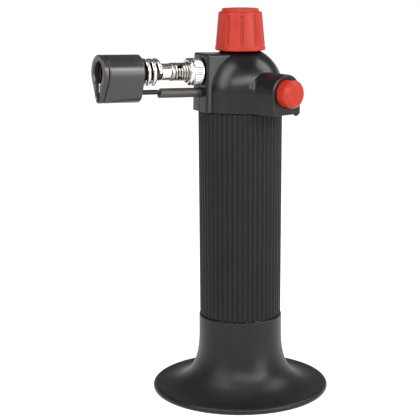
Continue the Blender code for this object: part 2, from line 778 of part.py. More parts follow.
def head_screws(torch):
    for name, y, z, _, seat in screw_places():
        head = seat + SCREW_HEAD_HEIGHT
        profile = [
            (0, head),
            (SCREW_HEAD_RADIUS - 0.3 * MM, head),
            (SCREW_HEAD_RADIUS, head - 0.4 * MM),
            (SCREW_HEAD_RADIUS, seat + GAP / 2),
            (SCREW_SHANK_RADIUS, seat + GAP / 2),
            (SCREW_SHANK_RADIUS, -seat + 3.2 * MM),
            (0, -seat + 2.6 * MM),
        ]
        screw = turned("head_screw_" + name, profile, "steel", torch)
        screw.location = (0, y, z)
        screw.rotation_euler = (0, math.radians(-90), 0)
        for turn in (0, 90):
            label = "cut_cross_" + name + "_" + str(turn)
            blade = box_mesh(
                label,
                (-1.1 * MM, -0.25 * MM, head - 0.7 * MM),
                (1.1 * MM, 0.25 * MM, head + 1 * MM),
            )
            cutter = add_cutter(label, blade, screw, (0, 0, 0), (0, 0, math.radians(turn)))
            combine(screw, cutter)


# ---------------------------------------------------------------- gas valve and knob


def valve_body(torch, burner):
    profile = [
        (VALVE_RADIUS, VALVE_TOP),
        (VALVE_RADIUS, SHOULDER_BOTTOM + VALVE_SHOULDER_HEIGHT),
        (VALVE_SHOULDER_RADIUS, SHOULDER_BOTTOM + VALVE_SHOULDER_HEIGHT),
        (VALVE_SHOULDER_RADIUS, SHOULDER_BOTTOM),
        (VALVE_RADIUS, SHOULDER_BOTTOM),
        (VALVE_RADIUS, VALVE_FOOT),
        (WICK_RADIUS + GAP, VALVE_FOOT),
        (WICK_RADIUS + GAP, VALVE_FOOT + WICK_HOLD),
        (VALVE_WAY, VALVE_FOOT + WICK_HOLD),
        (VALVE_WAY, SEAT_HEIGHT),
        (VALVE_BORE, SEAT_HEIGHT),
        (VALVE_BORE, VALVE_TOP),
    ]
    part = turned("valve_body", profile, "brass", torch, SMALL, ring=True)
    outlet = round_mesh("cut_outlet", OUTLET_RADIUS, 2 * MM, VALVE_RADIUS + 2 * MM, 16)
    combine(part, add_cutter("cut_outlet", outlet, burner))
    return part


def gland_nut(torch):
    """A hexagon nut over the valve's bore, hollowed below so that the spindle's collar can rise."""
    low = VALVE_TOP + GAP
    high = low + GLAND_HEIGHT
    hexagon = round_mesh("gland_nut", VALVE_RADIUS + 0.2 * MM, low, high, 6)
    part = add_part("gland_nut", hexagon, "brass", torch)
    room = [
        (0, high + 1 * MM),
        (SPINDLE_RADIUS + RUN, high + 1 * MM),
        (SPINDLE_RADIUS + RUN, high - GLAND_WALL),
        (VALVE_BORE, high - GLAND_WALL),
        (VALVE_BORE, low - 1 * MM),
        (0, low - 1 * MM),
    ]
    combine(part, turned_cutter("cut_gland_bore", room, torch))
    return part


def spindle_levels():
    """Heights on the spindle: its needle's tip, lower flange, groove and threaded collar."""
    tip = SEAT_HEIGHT + GAP
    groove_low = NOZZLE_HEIGHT + 1.3 * MM
    groove_high = groove_low + 1.6 * MM
    collar_top = VALVE_TOP - 0.1 * MM
    return tip, groove_low, groove_high, collar_top


def valve_spindle(torch):
    tip, groove_low, groove_high, collar_top = spindle_levels()
    flange = VALVE_BORE - RUN
    tapped = SCREW_SHANK_RADIUS + GAP
    profile = [
        (0, SPINDLE_TOP - SPINDLE_TAPPED),
        (tapped, SPINDLE_TOP - SPINDLE_TAPPED),
        (tapped, SPINDLE_TOP),
        (SPINDLE_RADIUS, SPINDLE_TOP),
        (SPINDLE_RADIUS, collar_top),
        (flange, collar_top),
        (flange, groove_high),
        (SPINDLE_WAIST, groove_high),
        (SPINDLE_WAIST, groove_low),
        (flange, groove_low),
        (flange, groove_low - 0.8 * MM),
        (NEEDLE_RADIUS, groove_low - 0.8 * MM),
        (NEEDLE_RADIUS, tip + 1.5 * MM),
        (0, tip),
    ]
    turned("valve_spindle", profile, "brass", torch)
    middle = (groove_low + groove_high) / 2
    ring = arc(((SPINDLE_WAIST + VALVE_BORE) / 2, middle), 0.6 * MM, 180, -135, 7)
    turned("spindle_oring", ring, "rubber", torch, SMALL, ring=True)


def knob_grooves(torch):
    """Upright slots round the knob, leaning with its taper, all in one cutter."""
    shape = bmesh.new()
    length = KNOB_HEIGHT - KNOB_GROOVE_START - KNOB_SHOULDER - 0.9 * MM
    lean = math.atan((KNOB_RADIUS_LOW - KNOB_RADIUS_HIGH) / KNOB_HEIGHT)
    middle_z = KNOB_BOTTOM + KNOB_GROOVE_START + length / 2
    share = (KNOB_GROOVE_START + length / 2) / KNOB_HEIGHT
    middle_r = KNOB_RADIUS_LOW + (KNOB_RADIUS_HIGH - KNOB_RADIUS_LOW) * share
    for i in range(KNOB_GROOVES):
        size = Matrix.Diagonal((2 * KNOB_GROOVE_DEPTH, KNOB_GROOVE_WIDTH, length, 1))
        place = Matrix.Translation((middle_r, 0, middle_z)) @ Matrix.Rotation(-lean, 4, "Y")
        turn = math.radians(KNOB_GROOVE_TURN + 360 * i / KNOB_GROOVES)
        around = Matrix.Rotation(turn, 4, "Z")
        bmesh.ops.create_cube(shape, size=1.0, matrix=around @ place @ size)
    return add_cutter("cut_knob_grooves", mesh_from("cut_knob_grooves", shape), torch)


def gas_knob(torch):
    hub = SPINDLE_RADIUS + GAP
    lip = 0.4 * MM
    screw_seat = SPINDLE_TOP + GAP + KNOB_WEB
    cap_seat = KNOB_TOP - CAP_SEAT
    rise = 1.0 * MM
    profile = [
        (CAP_RADIUS + GAP, KNOB_TOP),
        (KNOB_RADIUS_HIGH - KNOB_SHOULDER, KNOB_TOP),
        (KNOB_RADIUS_HIGH, KNOB_TOP - KNOB_SHOULDER),
        (KNOB_RADIUS_LOW - lip / 2, KNOB_BOTTOM + 3 * lip),
        (KNOB_RADIUS_LOW, KNOB_BOTTOM + 2 * lip),
        (KNOB_RADIUS_LOW, KNOB_BOTTOM + lip),
        (KNOB_RADIUS_LOW - lip, KNOB_BOTTOM),
        (KNOB_RADIUS_LOW - 4 * lip, KNOB_BOTTOM),
        (KNOB_RADIUS_LOW - 4 * lip, KNOB_BOTTOM + rise),
        (hub + KNOB_WEB, KNOB_BOTTOM + rise),
        (hub + KNOB_WEB, KNOB_BOTTOM),
        (hub, KNOB_BOTTOM),
        (hub, SPINDLE_TOP + GAP),
        (SCREW_SHANK_RADIUS + GAP, SPINDLE_TOP + GAP),
        (SCREW_SHANK_RADIUS + GAP, screw_seat),
        (KNOB_SCREW_RADIUS + RUN, screw_seat),
        (KNOB_SCREW_RADIUS + RUN, cap_seat),
        (CAP_RADIUS + GAP, cap_seat),
    ]
    part = turned("gas_knob", profile, "red", torch, MEDIUM + 4, ring=True)
    combine(part, knob_grooves(torch))
    screw_low = SPINDLE_TOP - 5 * MM
    seat = screw_seat + GAP
    screw = [
        (0, seat + KNOB_SCREW_HEAD),
        (KNOB_SCREW_RADIUS, seat + KNOB_SCREW_HEAD),
        (KNOB_SCREW_RADIUS, seat),
        (SCREW_SHANK_RADIUS, seat),
        (SCREW_SHANK_RADIUS, screw_low),
        (0, screw_low),
    ]
    turned("knob_screw", screw, "steel", torch)
    return part


def knob_cap(torch):
    low = KNOB_TOP - CAP_SEAT + GAP
    high = KNOB_TOP + CAP_PROUD
    cap = turned("knob_cap", rod_section(low, high, CAP_RADIUS, 0.3 * MM), "red", torch, MEDIUM + 4)
    mark = box_mesh(
        "form_cap_mark",
        (-0.8 * MM, -(CAP_RADIUS - 1.2 * MM), high - 0.5 * MM),
        (0.8 * MM, -2.0 * MM, high + CAP_MARK),
    )
    combine(cap, add_cutter("form_cap_mark", mark, torch), "UNION")
    return cap


# ---------------------------------------------------------------- burner


def gas_pipe_and_jet(burner):
    pipe_start = VALVE_RADIUS + GAP
    pipe_end = MIXER_START - 3.5 * MM
    pipe = tube_section(pipe_start, pipe_end, SPINDLE_RADIUS, 0.8 * MM)
    turned("gas_pipe", pipe, "copper", burner, 16, ring=True)
    tip = AIR_HOLE_AT + BLOCK_FRONT - 3 * MM
    outer = MIXER_BORE - 2 * GAP
    jet = [
        (1.4 * MM, tip),
        (outer, tip - 4 * MM),
        (outer, pipe_end + GAP),
        (0.5 * MM, pipe_end + GAP),
        (0.5 * MM, tip),
    ]
    turned("gas_jet", jet, "brass", burner, SMALL, ring=True)


def mixer_tube(burner):
    section = tube_section(MIXER_START, MIXER_END, MIXER_RADIUS, MIXER_BORE, 0.3 * MM)
    part = turned("mixer_tube", section, "nickel", burner, MEDIUM, ring=True)
    for i in range(AIR_HOLES // 2):
        label = "cut_air_hole_" + str(i)
        hole = round_mesh(label, AIR_HOLE_RADIUS, -MIXER_RADIUS - 2 * MM, MIXER_RADIUS + 2 * MM, 16)
        turn = (math.radians(90), 0, math.radians(45 + 90 * i))
        combine(part, add_cutter(label, hole, burner, (0, 0, BLOCK_FRONT + AIR_HOLE_AT), turn))
    return part


def air_collar(burner):
    """The collar that screws along the mixer tube, and the ring in it that gives it friction."""
    bore = MIXER_RADIUS + GAP
    groove = bore + 2.6 * RING_WIRE
    low, high = COLLAR_START, COLLAR_START + COLLAR_LENGTH
    groove_low, groove_high = high - 2.4 * MM, high - 0.9 * MM
    profile = [
        (COLLAR_RADIUS - 0.7 * MM, high),
        (COLLAR_RADIUS, high - 0.7 * MM),
        (COLLAR_RADIUS, low + 0.4 * MM),
        (COLLAR_RADIUS - 0.4 * MM, low),
        (bore, low),
        (bore, groove_low),
        (groove, groove_low),
        (groove, groove_high),
        (bore, groove_high),
        (bore, high),
    ]
    turned("air_collar", profile, "nickel", burner, MEDIUM, ring=True)
    middle = (groove_low + groove_high) / 2
    centre = bore + RING_WIRE + 0.07 * MM
    ring = arc((centre, middle), RING_WIRE, 180, -135, 7)
    turned("collar_oring", ring, "rubber", burner, SMALL, ring=True)


def burner_socket(burner):
    section = tube_section(SOCKET_START, SOCKET_END, SOCKET_RADIUS, SOCKET_RADIUS - 0.8 * MM, 0.3 * MM)
    return turned("burner_socket", section, "nickel", burner, SMALL, ring=True)


def flame_tube(burner):
    """The burner tube, slim through the coil and wider inside the shroud."""
    step = SHROUD_BACK + SHROUD_WALL + 4 * GAP
    mouth = SHROUD_FRONT - 0.1 * MM
    profile = [
        (FLAME_MOUTH_RADIUS, mouth),
        (FLAME_MOUTH_RADIUS, step),
        (FLAME_RADIUS, step - GAP),
        (FLAME_RADIUS, FLAME_START),
        (FLAME_RADIUS - FLAME_WALL, FLAME_START),
        (FLAME_RADIUS - FLAME_WALL, step + 1 * MM),
        (FLAME_MOUTH_RADIUS - FLAME_WALL, step + 2 * MM),
        (FLAME_MOUTH_RADIUS - FLAME_WALL, mouth),
    ]
    turned("flame_tube", profile, "steel", burner, MEDIUM, ring=True)
    back = step + 4 * MM
    radius = FLAME_MOUTH_RADIUS - FLAME_WALL - GAP
    plate = round_mesh("flame_disc", radius, back, back + 1.2 * MM)
    disc = add_part("flame_disc", plate, "steel", burner)
    shape = bmesh.new()
    for i in range(7):
        around = Matrix.Rotation(math.tau * i / 6, 4, "Z")
        reach = 0 if i == 6 else 2.1 * MM
        bmesh.ops.create_cone(
            shape,
            cap_ends=True,
            segments=10,
            radius1=0.55 * MM,
            radius2=0.55 * MM,
            depth=6 * MM,
            matrix=around @ Matrix.Translation((reach, 0, back)),
        )
    combine(disc, add_cutter("cut_disc_holes", mesh_from("cut_disc_holes", shape), burner))


def heat_coil(burner):
    """A thick wire wound round the burner tube behind the shroud."""
    low = FLAME_START + COIL_LEAD + COIL_WIRE
    route = helix(COIL_RADIUS - COIL_WIRE, low, low + COIL_TURNS * COIL_PITCH - COIL_WIRE, COIL_TURNS, 16)
    limit = SHROUD_BACK - GAP - COIL_WIRE
    shrink = min(1.0, (limit - low) / (route[-1][2] - low))
    route = [(x, y, low + (z - low) * shrink) for x, y, z in route]
    return add_part("heat_coil", wire_curve("heat_coil", route, COIL_WIRE), "nickel", burner)


# ---------------------------------------------------------------- shroud and ignition lead


def teardrop(inset):
    """A big circle on the burner's axis and a small one below it, joined by their common tangents."""
    big, small = SHROUD_RADIUS - inset, SHROUD_TIP_RADIUS - inset
    lean = math.degrees(math.asin((SHROUD_RADIUS - SHROUD_TIP_RADIUS) / SHROUD_TIP_DROP))
    top = arc((0, 0), big, -lean, 180 + lean, 20)
    tip = arc((0, -SHROUD_TIP_DROP), small, 180 + lean, 360 - lean, 6)
    return top + tip


def shroud_body(burner):
    hood = outline_mesh("shroud_body", teardrop(0), SHROUD_BACK, SHROUD_FRONT)
    part = add_part("shroud_body", hood, "satin_black", burner)
    round_edges(part, 0.6 * MM)
    room = outline_mesh(
        "cut_shroud_room", teardrop(SHROUD_WALL), SHROUD_BACK + SHROUD_WALL, SHROUD_FRONT + 2 * MM
    )
    combine(part, add_cutter("cut_shroud_room", room, burner))
    for label, radius, drop in (
        ("cut_tube_way", FLAME_RADIUS + GAP, 0),
        ("cut_lead_way", THIN_RADIUS + GAP, LEAD_DROP - LEAD_STEP),
    ):
        hole = round_mesh(label, radius, SHROUD_BACK - 2 * MM, SHROUD_BACK + SHROUD_WALL + 1 * MM)
        combine(part, add_cutter(label, hole, burner, (0, -drop, 0)))
    return part


def shroud_ring(burner):
    """The front ring, open in a keyhole: a round mouth with a slot below it for the electrode."""
    rim = outline_mesh("shroud_ring", teardrop(0), RING_BACK, RING_FRONT)
    part = add_part("shroud_ring", rim, "satin_black", burner)
    round_edges(part, 0.5 * MM)
    slot = 2.0 * MM
    start = math.degrees(math.asin(slot / RING_MOUTH)) - 90
    bottom = -SHROUD_TIP_DROP + 0.6 * MM
    keyhole = arc((0, 0), RING_MOUTH, start, -180 - start + 360, 20)
    keyhole += arc((0, bottom), slot, 180, 360, 8)
    hole = outline_mesh("cut_keyhole", keyhole, RING_BACK - 1 * MM, RING_FRONT + 1 * MM)
    combine(part, add_cutter("cut_keyhole", hole, burner))
    return part


def lead_tubes(burner):
    sleeve_start = BLOCK_FRONT - HEAD_WALL - 0.2 * MM
    sleeve_end = SOCKET_END + 0.4 * MM
    sleeve = turned(
        "lead_sleeve",
        tube_section(sleeve_start, sleeve_end, SLEEVE_RADIUS, SLEEVE_BORE, 0.3 * MM),
        "satin_black",
        burner,
        SMALL,
        ring=True,
    )
    sleeve.location = (0, -LEAD_DROP, 0)
    thin = turned(
        "lead_tube",
        tube_section(sleeve_end + GAP, SHROUD_BACK + SHROUD_WALL + GAP, THIN_RADIUS, THIN_BORE),
        "satin_black",
        burner,
        16,
        ring=True,
    )
    thin.location = (0, LEAD_STEP - LEAD_DROP, 0)


def ignition_lead(burner):
    """The wire from the spark maker's side, round the valve and straight through the two tubes."""
    drop = LEAD_DROP - 0.7 * LEAD_STEP
    start = MIXER_START + 0.5 * MM
    end = SHROUD_BACK + SHROUD_WALL - 0.2 * MM
    bend = [(13.0, 1.6), (11.9, 3.6), (9.6, 6.4), (6.6, 9.6), (3.3, 12.4), (1.0, 14.4)]
    route = []
    for i, (x, along) in enumerate(bend):
        height = -drop + 2.0 * MM * (1 - i / (len(bend) - 1)) ** 2
        route.append((x * MM, height, along * MM))
    route += [(0, -drop, start + 1 * MM), (0, -drop, end)]
    return add_part("ignition_lead", wire_curve("ignition_lead", route, LEAD_WIRE), "rubber", burner)


def electrode(burner):
    """The spark wire: straight through its insulator, then bent up towards the burner's mouth."""
    height = LEAD_STEP - LEAD_DROP
    start = SHROUD_BACK + SHROUD_WALL + 0.6 * MM
    bend = 1.2 * MM
    corner = RING_BACK + RING_LENGTH / 2 - bend
    route = [(0, height, start), (0, height, corner)]
    for along, rise in arc((corner, height + bend), bend, -90, 0, 5)[1:]:
        route.append((0, rise, along))
    route.append((0, -RING_MOUTH + 0.4 * MM, corner + bend))
    add_part("electrode", wire_curve("electrode", route, ELECTRODE_WIRE), "steel", burner)
    insulator = turned(
        "electrode_insulator",
        tube_section(start + GAP, SHROUD_FRONT - 3.5 * MM, INSULATOR_RADIUS, INSULATOR_BORE),
        "ceramic",
        burner,
        16,
        ring=True,
    )
    insulator.location = (0, height, 0)


# ---------------------------------------------------------------- button and spark maker


def ignition_button(button):
    profile = [
        (0, BUTTON_FACE),
        (BUTTON_RADIUS - BUTTON_CHAMFER, BUTTON_FACE),
        (BUTTON_RADIUS, BUTTON_FACE - BUTTON_CHAMFER),
        (BUTTON_RADIUS, FLANGE_FRONT),
        (BUTTON_RADIUS + BUTTON_FLANGE, FLANGE_FRONT),
        (BUTTON_RADIUS + BUTTON_FLANGE, FLANGE_BACK),
        (BUTTON_RADIUS - BUTTON_WALL, FLANGE_BACK),
        (BUTTON_RADIUS - BUTTON_WALL, BUTTON_CEILING),
        (0, BUTTON_CEILING),
    ]
    return turned("ignition_button", profile, "red", button, MEDIUM)


def piezo(button):
    """The spark maker: a square block with a round nose, bored for the plunger."""
    block = box_mesh(
        "piezo_body",
        (-PIEZO_HALF_WIDTH, -PIEZO_HALF_WIDTH, PIEZO_START),
        (PIEZO_HALF_WIDTH, PIEZO_HALF_WIDTH, PIEZO_BLOCK_END),
    )
    part = add_part("piezo_body", block, "nylon", button)
    round_edges(part, 0.5 * MM)
    nose = round_mesh("form_piezo_nose", PIEZO_NOSE_RADIUS, PIEZO_BLOCK_END - 2 * MM, PIEZO_FRONT)
    combine(part, add_cutter("form_piezo_nose", nose, button), "UNION")
    plunger_top = BUTTON_CEILING - GAP
    plunger_low = plunger_top - 12.2 * MM
    bore_low = plunger_low - BUTTON_TRAVEL - 0.6 * MM
    bore = round_mesh("cut_piezo_bore", PLUNGER_RADIUS + GAP, bore_low, PIEZO_FRONT + 1 * MM)
    combine(part, add_cutter("cut_piezo_bore", bore, button))
    plunger = rod_section(plunger_low, plunger_top, PLUNGER_RADIUS, 0.2 * MM)
    turned("piezo_plunger", plunger, "nylon", button)
    low = PIEZO_FRONT + GAP + PIEZO_SPRING_WIRE
    coil = helix(PIEZO_SPRING_RADIUS, low, plunger_top - PIEZO_SPRING_WIRE, 4)
    add_part("piezo_spring", wire_curve("piezo_spring", coil, PIEZO_SPRING_WIRE), "steel", button)


def earth_strip(button):
    """A bent strip from the spark maker's inner end to the valve body, which carries the spark's return."""
    low, high = VALVE_RADIUS + GAP, PIEZO_START - GAP
    thick = 0.4 * MM
    outline = [
        (low, -thick),
        (high, -thick),
        (high, 5 * thick),
        (high - thick, 5 * thick),
        (high - thick, 0),
        (low, 0),
    ]
    mesh = outline_mesh("earth_strip", outline, -1.5 * MM, 1.5 * MM)
    return add_part("earth_strip", mesh, "copper", button, (0, 1.0 * MM, 0), (0, math.radians(-90), 0))


def main():
    clear_scene()
    add_collection("propane_torch")
    add_collection("cutters")
    torch, burner, button = add_axes()
    base_stand(torch)
    grip_sleeve(torch)
    fuel_tank(torch)
    neck_seal(torch)
    fuel_wick(torch)
    refill_valve(torch)
    for side in ("left", "right"):
        head_shell(torch, burner, button, side)
    head_screws(torch)
    valve_body(torch, burner)
    gland_nut(torch)
    valve_spindle(torch)
    gas_knob(torch)
    knob_cap(torch)
    gas_pipe_and_jet(burner)
    mixer_tube(burner)
    air_collar(burner)
    burner_socket(burner)
    flame_tube(burner)
    heat_coil(burner)
    shroud_body(burner)
    shroud_ring(burner)
    lead_tubes(burner)
    ignition_lead(burner)
    electrode(burner)
    ignition_button(button)
    piezo(button)
    earth_strip(button)


main()
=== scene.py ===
"""The visible pieces of a pocket gas torch, built round its CAD frame.

Each new piece is a surface worked out with numpy in the coordinates of one of three axes (the torch's own, the
burner's or the button's), takes its sizes from the CAD nodes that it stands for, and rides on their body.
"""

import json
import math

import bmesh
import bpy
import numpy as np
from bpy.props import FloatProperty, FloatVectorProperty, IntProperty, PointerProperty
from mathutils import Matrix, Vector


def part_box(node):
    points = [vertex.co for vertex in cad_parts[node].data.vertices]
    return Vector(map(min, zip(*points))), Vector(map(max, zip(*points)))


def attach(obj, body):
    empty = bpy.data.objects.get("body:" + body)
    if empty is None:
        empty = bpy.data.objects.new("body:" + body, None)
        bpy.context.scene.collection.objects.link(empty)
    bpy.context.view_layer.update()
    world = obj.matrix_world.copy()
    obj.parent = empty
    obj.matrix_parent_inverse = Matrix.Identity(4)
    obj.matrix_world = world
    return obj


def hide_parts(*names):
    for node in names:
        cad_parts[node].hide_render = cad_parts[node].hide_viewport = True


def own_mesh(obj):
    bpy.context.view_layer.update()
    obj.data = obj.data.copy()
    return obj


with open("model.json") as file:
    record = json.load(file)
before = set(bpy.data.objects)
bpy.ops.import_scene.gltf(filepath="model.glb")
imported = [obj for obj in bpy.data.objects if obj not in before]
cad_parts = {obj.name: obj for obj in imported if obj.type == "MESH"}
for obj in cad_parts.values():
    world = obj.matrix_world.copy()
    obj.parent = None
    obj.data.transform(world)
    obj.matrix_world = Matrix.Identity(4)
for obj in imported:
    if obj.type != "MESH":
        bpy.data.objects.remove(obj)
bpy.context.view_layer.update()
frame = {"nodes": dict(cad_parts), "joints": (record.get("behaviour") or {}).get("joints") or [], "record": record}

bl_info = {
    "name": "Pocket gas torch",
    "version": (1, 0, 0),
    "blender": (4, 5, 0),
    "location": "3D View > Sidebar > Torch",
    "description": "Builds the visible pieces of a pocket gas torch round its CAD frame",
    "category": "Add Mesh",
}

MM = 0.001
GAP = 0.3 * MM
MERGE = 1e-7  # points nearer than this become one
FLAT = 1e-9  # a path that varies less than this across lies in one plane
WIRE_END = 0.35  # how far a wire's rounded end stands out, as a share of its radius
PAST = 2 * MM  # how far a cutting solid runs past what it cuts
TAU = math.tau
JOINTS = {joint["name"]: joint for joint in frame["joints"]}


# ---------------------------------------------------------------- axes and sizes read from the frame


def unit(vector):
    """The vector at length one."""
    vector = np.asarray(vector, float)
    return vector / np.linalg.norm(vector)


def unit_rows(rows):
    """Each row at length one."""
    return rows / np.linalg.norm(rows, axis=1)[:, None]


def axes_at(origin, along):
    """A 4 x 4 matrix at origin whose Z points along, whose Y is the upright nearest to world +Z, and X is Y x Z."""
    z = unit(along)
    up = np.array((0.0, 0.0, 1.0)) if abs(z[2]) < 0.9 else np.array((0.0, 1.0, 0.0))
    y = unit(up - z * (up @ z))
    axes = np.eye(4)
    axes[:3, 0], axes[:3, 1], axes[:3, 2], axes[:3, 3] = np.cross(y, z), y, z, origin
    return axes


def middle(node):
    """The middle of a CAD node's box."""
    low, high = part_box(node)
    return (low + high) / 2


AXIS_Y = middle("grip_sleeve").y
TORCH = axes_at((0, AXIS_Y, 0), (0, 0, 1))
BURNER = axes_at(JOINTS["air_collar_turn"]["pos_m"], JOINTS["air_collar_turn"]["axis"])
BUTTON = axes_at((0, AXIS_Y, middle("ignition_button").z), -np.array(JOINTS["button_press"]["axis"]))


def local_points(node, axes):
    """A CAD node's points in the coordinates of the axes."""
    mesh = frame["nodes"][node].data
    points = np.empty(len(mesh.vertices) * 3, np.float32)
    mesh.vertices.foreach_get("co", points)
    return (points.reshape(-1, 3).astype(float) - axes[:3, 3]) @ axes[:3, :3]


def span(node, axes):
    """Lowest and highest corner of a CAD node, in the coordinates of the axes."""
    points = local_points(node, axes)
    return points.min(0), points.max(0)


def radii(node, axes, low=-1.0, high=1.0):
    """Smallest and largest distance from the axis among a CAD node's points between two heights along it."""
    points = local_points(node, axes)
    points = points[(points[:, 2] >= low) & (points[:, 2] <= high)]
    reach = np.hypot(points[:, 0], points[:, 1])
    return reach.min(), reach.max()


# ---------------------------------------------------------------- user's sizes and colours


def millimetres(name, description, default):
    """A length property whose default is given in millimetres."""
    return FloatProperty(name=name, description=description, default=default * MM, min=0, unit="LENGTH", precision=5)


def colour(name, description, default):
    """A colour property, in linear red, green and blue."""
    return FloatVectorProperty(
        name=name, description=description, default=default, size=3, min=0, max=1, subtype="COLOR"
    )


class TorchSizes(bpy.types.PropertyGroup):
    """Sizes of the fine detail that the CAD frame doesn't hold."""

    rib_count: IntProperty(name="Grip ribs", description="Upright ribs round the grip", default=50, min=8)
    rib_depth: millimetres("Rib depth", "Depth of the grooves between the grip's ribs", 0.5)
    rim_bead: millimetres("Rim bead", "Radius of the bead round the stand's rim", 1.5)
    flare_height: millimetres("Flare height", "Height of the stand's flare", 26.8)
    flare_power: FloatProperty(
        name="Flare power", description="Power of the superellipse that the flare follows", default=0.71, min=0.3
    )
    knob_grooves: IntProperty(name="Knob grooves", description="Grooves round the gas knob", default=10, min=3)
    groove_width: millimetres("Groove width", "Width of each groove in the gas knob", 1.5)
    groove_depth: millimetres("Groove depth", "Depth of each groove in the gas knob", 0.5)
    groove_turn: FloatProperty(
        name="Groove turn", description="Where the first groove stands", default=math.radians(12.2), subtype="ANGLE"
    )
    knurls: IntProperty(name="Knurls", description="Straight knurls round the air collar", default=46, min=8)
    knurl_depth: millimetres("Knurl depth", "Depth of the knurls", 0.22)
    thread_pitch: millimetres("Thread pitch", "Pitch of the mixing tube's thread", 1.25)
    thread_depth: millimetres("Thread depth", "Depth of the mixing tube's thread", 0.55)
    coil_turns: FloatProperty(name="Coil turns", description="Turns of the heat coil", default=2.6, min=1)


class TorchColours(bpy.types.PropertyGroup):
    """Base colours of the torch's main finishes."""

    satin_black: colour("Stand and shroud", "Satin moulded plastic", (0.009, 0.009, 0.0095))
    grip_grey: colour("Grip", "Satin ribbed plastic", (0.0075, 0.0066, 0.0062))
    gloss_black: colour("Head", "Glossy moulded plastic", (0.004, 0.004, 0.005))
    red: colour("Knob and button", "Red moulded plastic", (0.3, 0.0185, 0.0085))
    nickel: colour("Burner", "Bright nickel plating", (0.64, 0.62, 0.59))


# ---------------------------------------------------------------- surfaces


def rounded(corners, steps=6):
    """The line through (radius, height, rounding) corners, each corner replaced by the arc that touches both of
    its sides and has the rounding as its radius, with a short straight step before and after it."""
    line = []
    for index, (radius, height, rounding) in enumerate(corners):
        here = np.array((radius, height))
        if rounding <= 0:
            line.append(here[None])
            continue
        back = np.array(corners[index - 1][:2]) - here
        ahead = np.array(corners[(index + 1) % len(corners)][:2]) - here
        long_back, long_ahead = np.linalg.norm(back), np.linalg.norm(ahead)
        back, ahead = back / long_back, ahead / long_ahead
        half = math.acos(float(np.clip(back @ ahead, -1, 1))) / 2
        cut = min(rounding / math.tan(half), 0.45 * long_back, 0.45 * long_ahead)
        centre = here + unit(back + ahead) * cut / math.cos(half)
        first, last = here + back * cut - centre, here + ahead * cut - centre
        start = math.atan2(first[1], first[0])
        sweep = (math.atan2(last[1], last[0]) - start + math.pi) % TAU - math.pi
        turn = start + sweep * np.linspace(0, 1, steps + 1)
        arc = centre + cut * math.tan(half) * np.column_stack([np.cos(turn), np.sin(turn)])
        step = min(0.05 * MM, 0.04 * long_back, 0.04 * long_ahead)
        line.append(np.vstack([arc[:1] + back * step, arc, arc[-1:] + ahead * step]))
    return np.concatenate(line)


def grid_faces(rows, columns, loop_rows, loop_columns):
    """The quads of a grid of points, wrapped round in either direction where it is a loop."""
    i, j = np.meshgrid(
        np.arange(rows if loop_rows else rows - 1),
        np.arange(columns if loop_columns else columns - 1),
        indexing="ij",
    )
    i, j = i.ravel(), j.ravel()
    below, beside = (i + 1) % rows, (j + 1) % columns
    return np.column_stack([i * columns + j, below * columns + j, below * columns + beside, i * columns + beside])


def smooth(piece, degrees=32):
    """Smooth shading, with edges sharper than the angle kept."""
    piece.data.shade_smooth()
    piece.data.set_sharp_from_angle(angle=math.radians(degrees))


def add_surface(name, grid, axes, loop_rows=False, caps=False, attribute=None):
    """A piece from a grid of points of shape (rows, columns, 3) whose columns close into a loop. caps fills the
    first and last row. Points that meet, as at a pole, become one, and faces turn outwards."""
    rows, columns = grid.shape[:2]
    points = grid.reshape(-1, 3) @ axes[:3, :3].T + axes[:3, 3]
    faces = grid_faces(rows, columns, loop_rows, True).tolist()
    if caps:
        faces += [list(range(columns)), list(range((rows - 1) * columns, rows * columns))]
    mesh = bpy.data.meshes.new(name)
    mesh.from_pydata(points.tolist(), [], faces)
    if attribute is not None:
        label, values = attribute
        mesh.attributes.new(label, "FLOAT", "POINT").data.foreach_set("value", values.ravel().astype(np.float32))
    shape = bmesh.new()
    shape.from_mesh(mesh)
    bmesh.ops.remove_doubles(shape, verts=shape.verts, dist=MERGE)
    bmesh.ops.recalc_face_normals(shape, faces=shape.faces)
    shape.to_mesh(mesh)
    shape.free()
    piece = bpy.data.objects.new(name, mesh)
    bpy.context.scene.collection.objects.link(piece)
    smooth(piece)
    return piece


def revolve(line, columns):
    """The surface of revolution of a (radius, height) line: (r cos t, r sin t, h) for t all the way round."""
    turn = np.arange(columns) * TAU / columns
    radius, height = line[:, :1], line[:, 1:]
    return np.dstack([radius * np.cos(turn), radius * np.sin(turn), np.broadcast_to(height, (len(line), columns))])


def turned(name, corners, axes, columns=96, ring=False):
    """A turned piece from its half section's corners. A ring's section is a loop that keeps off the axis."""
    return add_surface(name, revolve(rounded(corners), columns), axes, loop_rows=ring)


def swept(name, path, radius, axes, columns=20):
    """A round wire along a path: each row is a circle square to the path, r (cos t side + sin t over). Each end is
    closed by rows that shrink by cos s while they move on along the path by 0.35 r sin s."""
    path = np.asarray(path, float)
    tangent = unit_rows(np.gradient(path, axis=0))
    flat = np.ptp(path[:, 0]) < FLAT
    side = unit_rows(np.cross(tangent, (1.0, 0.0, 0.0) if flat else (0.0, 0.0, 1.0)))
    over = np.cross(side, tangent)
    turn = (np.arange(columns) * TAU / columns)[None, :, None]
    circle = radius * (np.cos(turn) * side[:, None] + np.sin(turn) * over[:, None])
    curve = np.linspace(0, math.pi / 2, 5)[1:, None, None]
    ends = [
        path[index] + circle[index] * np.cos(curve) + sign * tangent[index] * WIRE_END * radius * np.sin(curve)
        for index, sign in ((0, -1), (-1, 1))
    ]
    return add_surface(name, np.concatenate([ends[0][::-1], path[:, None] + circle, ends[1]]), axes)


